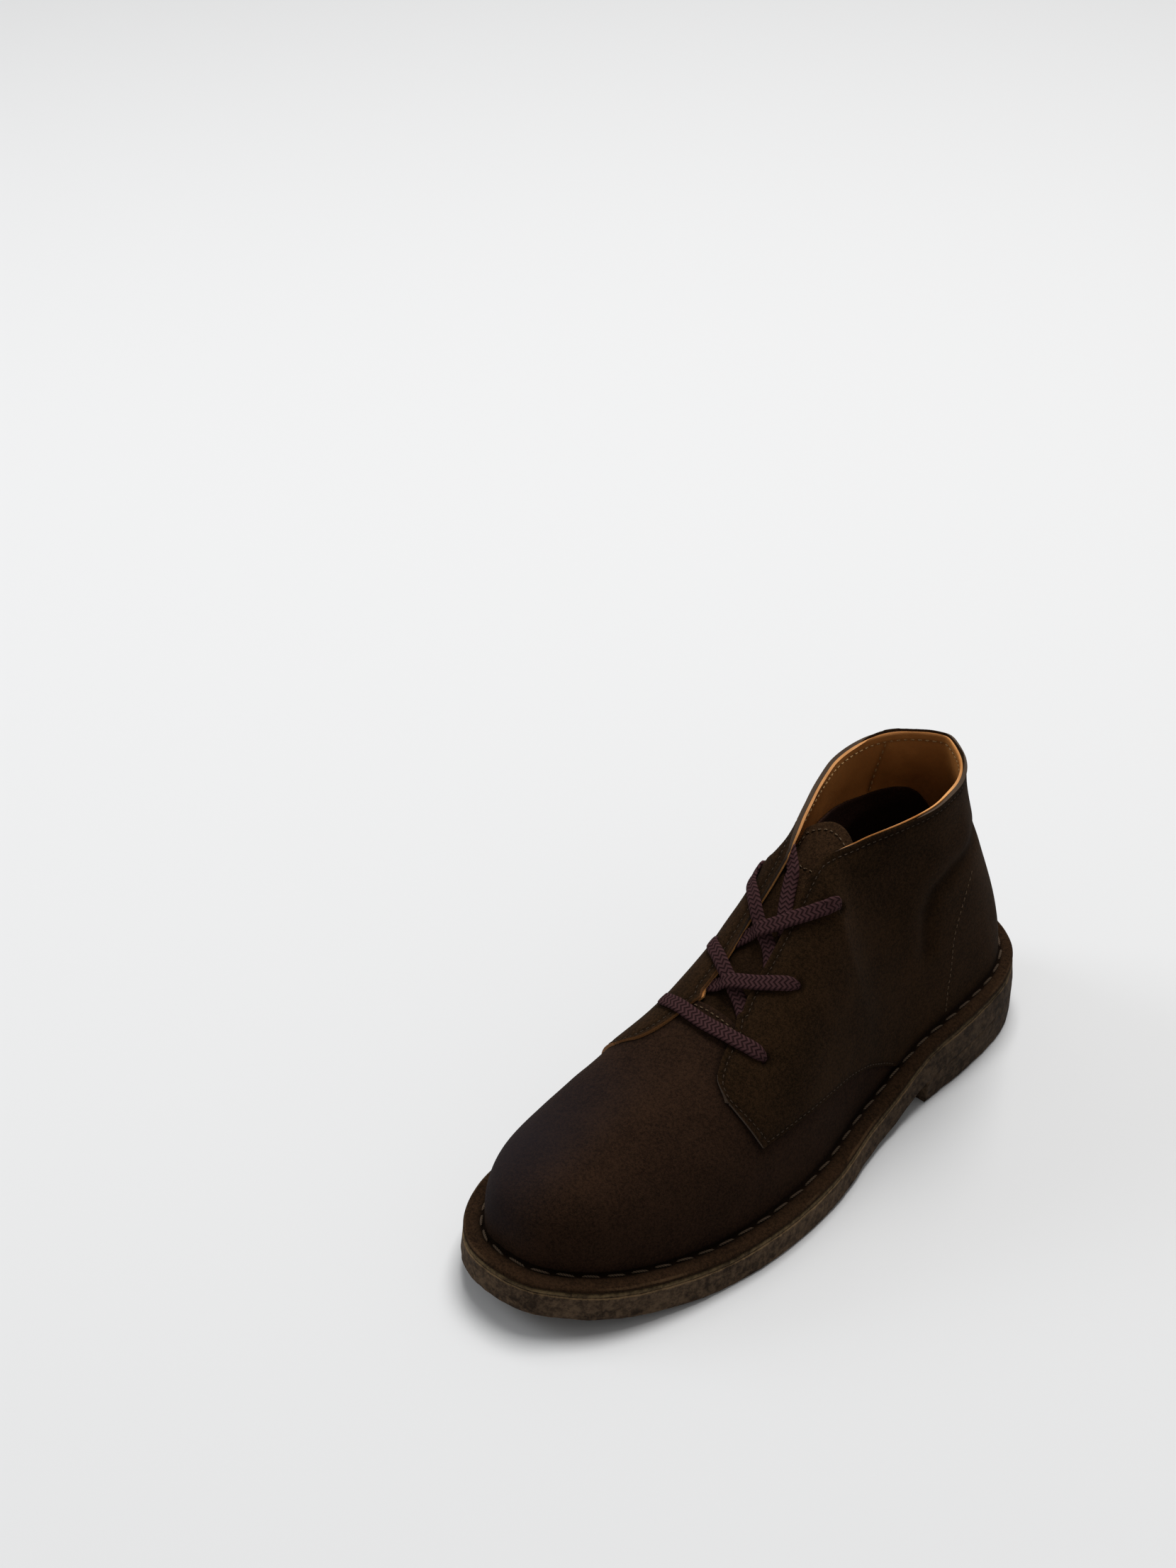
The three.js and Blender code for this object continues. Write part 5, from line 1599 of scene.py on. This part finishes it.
@dataclass
class Tongue:
    """The tongue under the facings."""

    last: Last
    kit: Kit
    depth: float = 2.6
    thickness: float = 2.0
    lean: float = math.radians(25)

    # how far the rows of stitches lie over the face, in millimetres
    FACE = 0.25
    # from the vamp up: share of the middle, how far past it in ball widths, share and rise of the edges
    ROWS = np.array([
        (0.608, 0, 0.608, 0.88), (0.56, 0, 0.558, 0.86), (0.51, 0, 0.505, 0.86), (0.465, 0, 0.455, 0.87),
        (0.43, 0, 0.418, 0.89), (0.43, 0.09, 0.392, 0.89), (0.43, 0.19, 0.36, 0.91),
        (0.43, 0.305, 0.325, 0.945)])

    def surface(self, t: np.ndarray, turn: np.ndarray) -> np.ndarray:
        """Points of the tongue's outer face.

        Args:
            t: share of the way up, rows x 1.
            turn: from -1 at the inner edge to 1 at the outer, 1 x columns.

        Returns:
            Points: under the facings they lie on the last drawn in by the depth, and above them on a parabola
            between the two edges whose crown goes on at the tongue's slope.
        """
        last = self.last
        rows = self.ROWS
        at = t * (len(rows) - 1)
        middle, past, edge, rise_edge = (monotone(np.arange(len(rows)), values, at) for values in rows.T)
        side = np.where(turn > 0, OUTER, INNER) + 0 * at
        w = np.abs(turn)
        share = middle + (edge - middle) * w
        rise = np.cos(np.arccos(rise_edge) * w)
        low = last.place(side, share, rise) - last.normal(side, share, rise) * self.depth
        ridge = np.ones_like(middle)
        both = last.normal(OUTER, middle, ridge) + last.normal(INNER, middle, ridge)
        crown = last.place(OUTER, middle, ridge) - 0.5 * self.depth * both
        slope = np.array([0.0, math.cos(self.lean), math.sin(self.lean)])
        crown = crown + past[..., None] * last.BALL * slope
        edge, rise_edge = edge + 0 * w, rise_edge + 0 * w
        border = last.place(side, edge, rise_edge) - last.normal(side, edge, rise_edge) * (self.depth + 0.6)
        high = crown + (border - crown) * np.stack([w, w ** 2, w ** 2], -1)
        blend = smooth(past, 0.0, 0.09)[..., None]
        return low * (1 - blend) + high * blend

    def build(self) -> None:
        """Makes the tongue, its edge stitches and a wavy row of stitches across it."""
        t = np.linspace(0, 1, 90)[:, None]
        turn = np.linspace(-1, 1, 61)[None]
        points = self.surface(t, turn)
        normals = grid_normals(points)
        flip = np.sign(normals[..., 2].mean())
        normals = normals * flip
        points = points + normals * (0.25 * lattice_noise(points, 14, 41))[..., None]
        edge = np.maximum(smooth(np.abs(turn), 0.9, 1.0) + 0 * t, smooth(t, 0.97, 1.0) + 0 * turn)
        # painted shade on the tongue's lower part, under the facings and the lace
        dark = 0.55 * smooth(1 - t, 0.35, 0.9) + 0 * turn
        sheet = Sheet("tongue_suede")
        sheet.grid(points, flip=flip < 0, dark=dark, wear=0.35 * edge)
        piece = sheet.build()
        wall(piece, self.thickness, 0.35, edge=1)
        self.kit.dress(piece, Slot.SUEDE, TONGUE_SUEDE, CUT_EDGE, stands_for=("tongue",))
        foot, top, aside = 0.55, 0.95, 0.86
        height = np.concatenate([np.linspace(foot, top, 40), np.full(59, top),
                                 np.linspace(top, foot, 40)[1:]])
        turn = np.concatenate([np.full(40, -aside), np.linspace(-aside, aside, 60)[1:], np.full(39, aside)])
        self.sew_row("tongue_stitches", height, turn, TONGUE_STITCH)
        turn = np.linspace(-0.7, 0.7, 60)
        height = 0.70 + 0.012 * np.abs(np.sin(turn * 7))
        self.sew_row("tongue_patch_stitches", height, turn, PATCH_STITCH)

    def sew_row(self, name: str, height: np.ndarray, turn: np.ndarray, kind: Stitch) -> None:
        """Sews a row of stitches on the tongue's face.

        Args:
            name: the piece's name.
            height: shares of the way up.
            turn: places from -1 at the inner edge to 1 at the outer.
            kind: the kind of stitch.
        """
        line = self.surface(height, turn)
        beside = self.surface(height, turn + 0.02)
        below = self.surface(height - 0.01, turn)
        out = unit(np.cross(beside - line, line - below))
        out = out * np.sign(out[:, 2:3])
        self.kit.sew(name, line + out * self.FACE, out, kind)


class Lie(Enum):
    """How a strand lies at a knot: the height of its middle over the last, in millimetres."""

    HIDDEN = -1.9
    SLOT = -1.25
    UNDER = 0.7
    SPAN = 1.9
    HIGH = 2.7
    OVER = 2.35
    RIM = 2.0
    MOUTH = 1.2
    HOLE = -0.9
    DOWN = -2.6


@dataclass
class Lacing:
    """The flat lace: crossings and bars through three pairs of holes."""

    last: Last
    kit: Kit
    width: float = 6.0
    thickness: float = 1.5

    # millimetres past the centre of a hole, and how a strand that goes into it lies there
    ENTRY = ((-3.6, Lie.RIM), (-1.5, Lie.MOUTH), (-0.2, Lie.HOLE), (0.5, Lie.DOWN))
    # millimetres from a hole over which a strand widens from half its width to the whole
    GATHER = (1.5, 8.5)
    # millimetres that each span counts longer, so that near knots don't make a strand steep
    SPARE = 0.6
    # name, solids that it stands for, hole that it comes from, knots, hole that it goes into. A hole is its
    # number from the toe and its side, a knot its place sideways and along as shares and its lie
    STRANDS = (
        ("lace_bar_1", ("lace_row_1",), (0, INNER),
         ((-0.185, 0.626, Lie.OVER), (-0.115, 0.631, Lie.OVER), (0.028, 0.635, Lie.SPAN),
          (0.155, 0.631, Lie.OVER), (0.215, 0.625, Lie.OVER)), (0, OUTER)),
        ("lace_bar_2", ("lace_row_2",), None,
         ((-0.15, 0.600, Lie.HIDDEN), (-0.09, 0.595, Lie.HIDDEN), (-0.045, 0.590, Lie.SLOT),
          (0.02, 0.579, Lie.HIGH), (0.115, 0.566, Lie.OVER), (0.17, 0.554, Lie.OVER)), (1, OUTER)),
        ("lace_cross_2", (), None,
         ((0.17, 0.612, Lie.HIDDEN), (0.115, 0.600, Lie.HIDDEN), (0.08, 0.592, Lie.SLOT),
          (0.02, 0.581, Lie.UNDER), (-0.08, 0.562, Lie.OVER), (-0.135, 0.55, Lie.OVER)), (1, INNER)),
        ("lace_bar_3", ("lace_row_3",), None,
         ((-0.12, 0.552, Lie.HIDDEN), (-0.075, 0.541, Lie.HIDDEN), (-0.033, 0.53, Lie.SLOT),
          (0.02, 0.519, Lie.HIGH), (0.095, 0.5, Lie.OVER), (0.145, 0.481, Lie.OVER)), (2, OUTER)),
        ("lace_cross_3", (), None,
         ((0.14, 0.556, Lie.HIDDEN), (0.1, 0.543, Lie.HIDDEN), (0.07, 0.532, Lie.SLOT),
          (0.015, 0.521, Lie.UNDER), (-0.075, 0.496, Lie.OVER), (-0.125, 0.476, Lie.OVER)), (2, INNER)),
        ("lace_slack", ("lace_top",), None,
         ((-0.09, 0.435, Lie.HIDDEN), (-0.035, 0.452, Lie.HIDDEN), (0.002, 0.462, Lie.SLOT),
          (0.025, 0.478, Lie.SLOT), (0.055, 0.497, Lie.SLOT), (0.1, 0.515, Lie.HIDDEN)), None))

    def strand(self, name: str, knots: list[tuple[float, float, Lie]], start_narrow: bool, end_narrow: bool,
               stands_for: tuple[str, ...]) -> None:
        """Makes one strand.

        Args:
            name: the piece's name.
            knots: sideways place and place along, as shares of the ball width and the length, and the lie.
            start_narrow: the start is gathered into a hole.
            end_narrow: the end is gathered into a hole.
            stands_for: solids that it replaces.
        """
        last = self.last
        table = np.array([(x * last.BALL, s * last.LENGTH, lie.value) for x, s, lie in knots])
        spans = np.linalg.norm(np.diff(table[:, :2], axis=0), axis=1) + self.SPARE
        run = np.concatenate([[0], np.cumsum(spans)])
        fine = np.linspace(0, run[-1], 90)
        x, s, lift = (monotone(run, column, fine) for column in table.T)
        side, share, rise = last.find(averaged(x, 7), averaged(s, 7))
        up = unit(np.stack([averaged(part, 9) for part in last.normal(side, share, rise).T], 1))
        spine = last.place(side, share, rise) + up * lift[:, None]
        along = unit(np.gradient(spine, axis=0))
        across = unit(np.cross(along, up))
        upright = np.cross(across, along)
        length = walked(spine)
        squeeze = np.ones(len(fine))
        if start_narrow:
            squeeze = squeeze * (0.5 + 0.5 * smooth(length, *self.GATHER))
        if end_narrow:
            squeeze = squeeze * (0.5 + 0.5 * smooth(length[-1] - length, *self.GATHER))
        face = 13
        w = np.linspace(-1, 1, face)
        half = np.sqrt(np.maximum(1 - np.abs(w) ** 5, 0)) * 0.92 + 0.08
        ring_w = np.concatenate([w, w[::-1]])
        ring_h = np.concatenate([half, -half[::-1]])
        wide = (squeeze * self.width / 2)[:, None, None]
        thick = (self.thickness / 2 / squeeze ** 0.6)[:, None, None]
        body = (spine[:, None] + across[:, None] * (ring_w[None, :, None] * wide)
                + upright[:, None] * (ring_h[None, :, None] * thick))
        cup = (1 - squeeze)[:, None] * 1.1 * (np.abs(ring_w)[None] ** 2)
        body = body - upright[:, None] * cup[..., None]
        sheet = Sheet(name)
        sheet.grid(body, around=True, run=length[:, None], across=ring_w[None])
        for end in (0, -1):
            pair = np.stack([body[end, :face], body[end, face:][::-1]])
            sheet.grid(pair, flip=end == 0, run=length[end], across=w[None])
        self.kit.dress(sheet.build(), Slot.LACE, LACE, stands_for=stands_for)

    def hole(self, upper: Upper, number: int, side: int) -> tuple[float, float]:
        """A lace hole in plan.

        Args:
            upper: the upper that it is in.
            number: its number from the toe.
            side: OUTER or INNER.

        Returns:
            Its place sideways and its place along, as shares of the ball width and the length.
        """
        last = self.last
        along, rise = upper.HOLES[number]
        point = last.place(side, along, rise)
        return (point[0] + last.middle) / last.BALL, (last.LENGTH / 2 - point[1]) / last.LENGTH

    def into(self, upper: Upper, number: int, side: int, before: tuple[float, float]) -> list[tuple]:
        """Knots that take a strand over the rim of a hole and down through it.

        Args:
            upper: the upper that the hole is in.
            number: its number from the toe.
            side: OUTER or INNER.
            before: the place in plan, as shares, from which the strand comes.

        Returns:
            Four knots.
        """
        x, s = self.hole(upper, number, side)
        bx, bs = before
        gap = math.hypot((x - bx) * self.last.BALL, (s - bs) * self.last.LENGTH)
        dx, ds = (x - bx) / gap, (s - bs) / gap
        return [(x + past * dx, s + past * ds, lie) for past, lie in self.ENTRY]

    def build(self, upper: Upper) -> None:
        """Makes the six visible strands."""
        for name, stands_for, start, knots, end in self.STRANDS:
            before = self.into(upper, *start, knots[0][:2])[::-1] if start else []
            after = self.into(upper, *end, knots[-1][:2]) if end else []
            self.strand(name, [*before, *knots, *after], bool(start), bool(end), stands_for)


class Studio:
    """Pale floor, soft light and the camera."""

    FLOOR_TONE = 0.595
    FLOOR_HALF = 4000
    # millimetres by which the floor lies under the sole
    FLOOR_DROP = 0.05
    WORLD_STRENGTH = 0.31
    # where the lights point, in metres
    AIM = (0, 0, 0.05)
    # name, place in metres, size in metres, power in watts, warmth
    LIGHTS = (("overhead", (-0.37, 0.8, 2.8), 1.4, 94, 0.0),
              ("front left", (-1.6, -0.9, 1.2), 1.0, 10, -0.9))
    # the camera's place in metres, its right and up vectors, its lens and its sensor in millimetres
    EYE = (0.46155, -0.5954, 0.7046)
    RIGHT = (0.72822, 0.68535, 0.0)
    UP = (-0.39642, 0.42122, 0.81575)
    LENS = 56.42
    SENSOR = (27, 36)

    def floor(self) -> None:
        """A wide pale floor, just under the sole."""
        sheet = Sheet("studio_floor")
        span = np.linspace(-self.FLOOR_HALF, self.FLOOR_HALF, 3)
        x, y = np.meshgrid(span, span)
        sheet.grid(np.stack([x, y, np.full(x.shape, -self.FLOOR_DROP)], -1))
        floor = sheet.build()
        tone = (self.FLOOR_TONE, self.FLOOR_TONE, self.FLOOR_TONE, 1)
        paint = Paint("studio floor", 0.9, Specular_IOR_Level=0.0, Base_Color=tone)
        floor.data.materials.append(paint.material)

    def light(self, name: str, place: tuple[float, float, float], size: float, power: float,
              warmth: float) -> None:
        """A square soft light aimed at the boot.

        Args:
            name: the light's name.
            place: its place in metres.
            size: its side in metres.
            power: its power in watts.
            warmth: 0 is white, above it the light is warmer and below it cooler.
        """
        data = bpy.data.lights.new(name, "AREA")
        data.shape = "SQUARE"
        data.size = size
        data.energy = power
        data.color = (1.0, 1.0 - 0.05 * warmth, 1.0 - 0.1 * warmth)
        lamp = bpy.data.objects.new(name, data)
        lamp.location = place
        aim = Vector(self.AIM) - Vector(place)
        lamp.rotation_euler = aim.to_track_quat("-Z", "Y").to_euler()
        bpy.context.scene.collection.objects.link(lamp)

    def camera(self) -> None:
        """The camera, at the photograph's angle."""
        data = bpy.data.cameras.new("photo_camera")
        data.sensor_fit = "VERTICAL"
        data.sensor_width, data.sensor_height = self.SENSOR
        data.lens = self.LENS
        data.clip_start = 0.05
        eye = bpy.data.objects.new("photo_camera", data)
        right = Vector(self.RIGHT)
        up = Vector(self.UP)
        back = right.cross(up)
        turn = Matrix((right, up, back)).transposed()
        eye.matrix_world = Matrix.Translation(Vector(self.EYE)) @ turn.to_4x4()
        bpy.context.scene.collection.objects.link(eye)
        bpy.context.scene.camera = eye

    def build(self) -> None:
        """Makes the floor, the lights, the surroundings and the camera."""
        self.floor()
        self.camera()
        for settings in self.LIGHTS:
            self.light(*settings)
        world = bpy.data.worlds.new("studio")
        world.use_nodes = True
        background = world.node_tree.nodes["Background"]
        background.inputs["Color"].default_value = (1, 1, 1, 1)
        background.inputs["Strength"].default_value = self.WORLD_STRENGTH
        bpy.context.scene.world = world
        bpy.context.scene.view_settings.view_transform = "Standard"


def main() -> None:
    """Builds the boot and its studio."""
    kit = Kit()
    last = Last()
    Studio().build()
    Sole(last, kit).build()
    upper = Upper(last, kit)
    upper.build()
    Tongue(last, kit).build()
    Lacing(last, kit).build(upper)


if __name__ == "__main__":
    main()
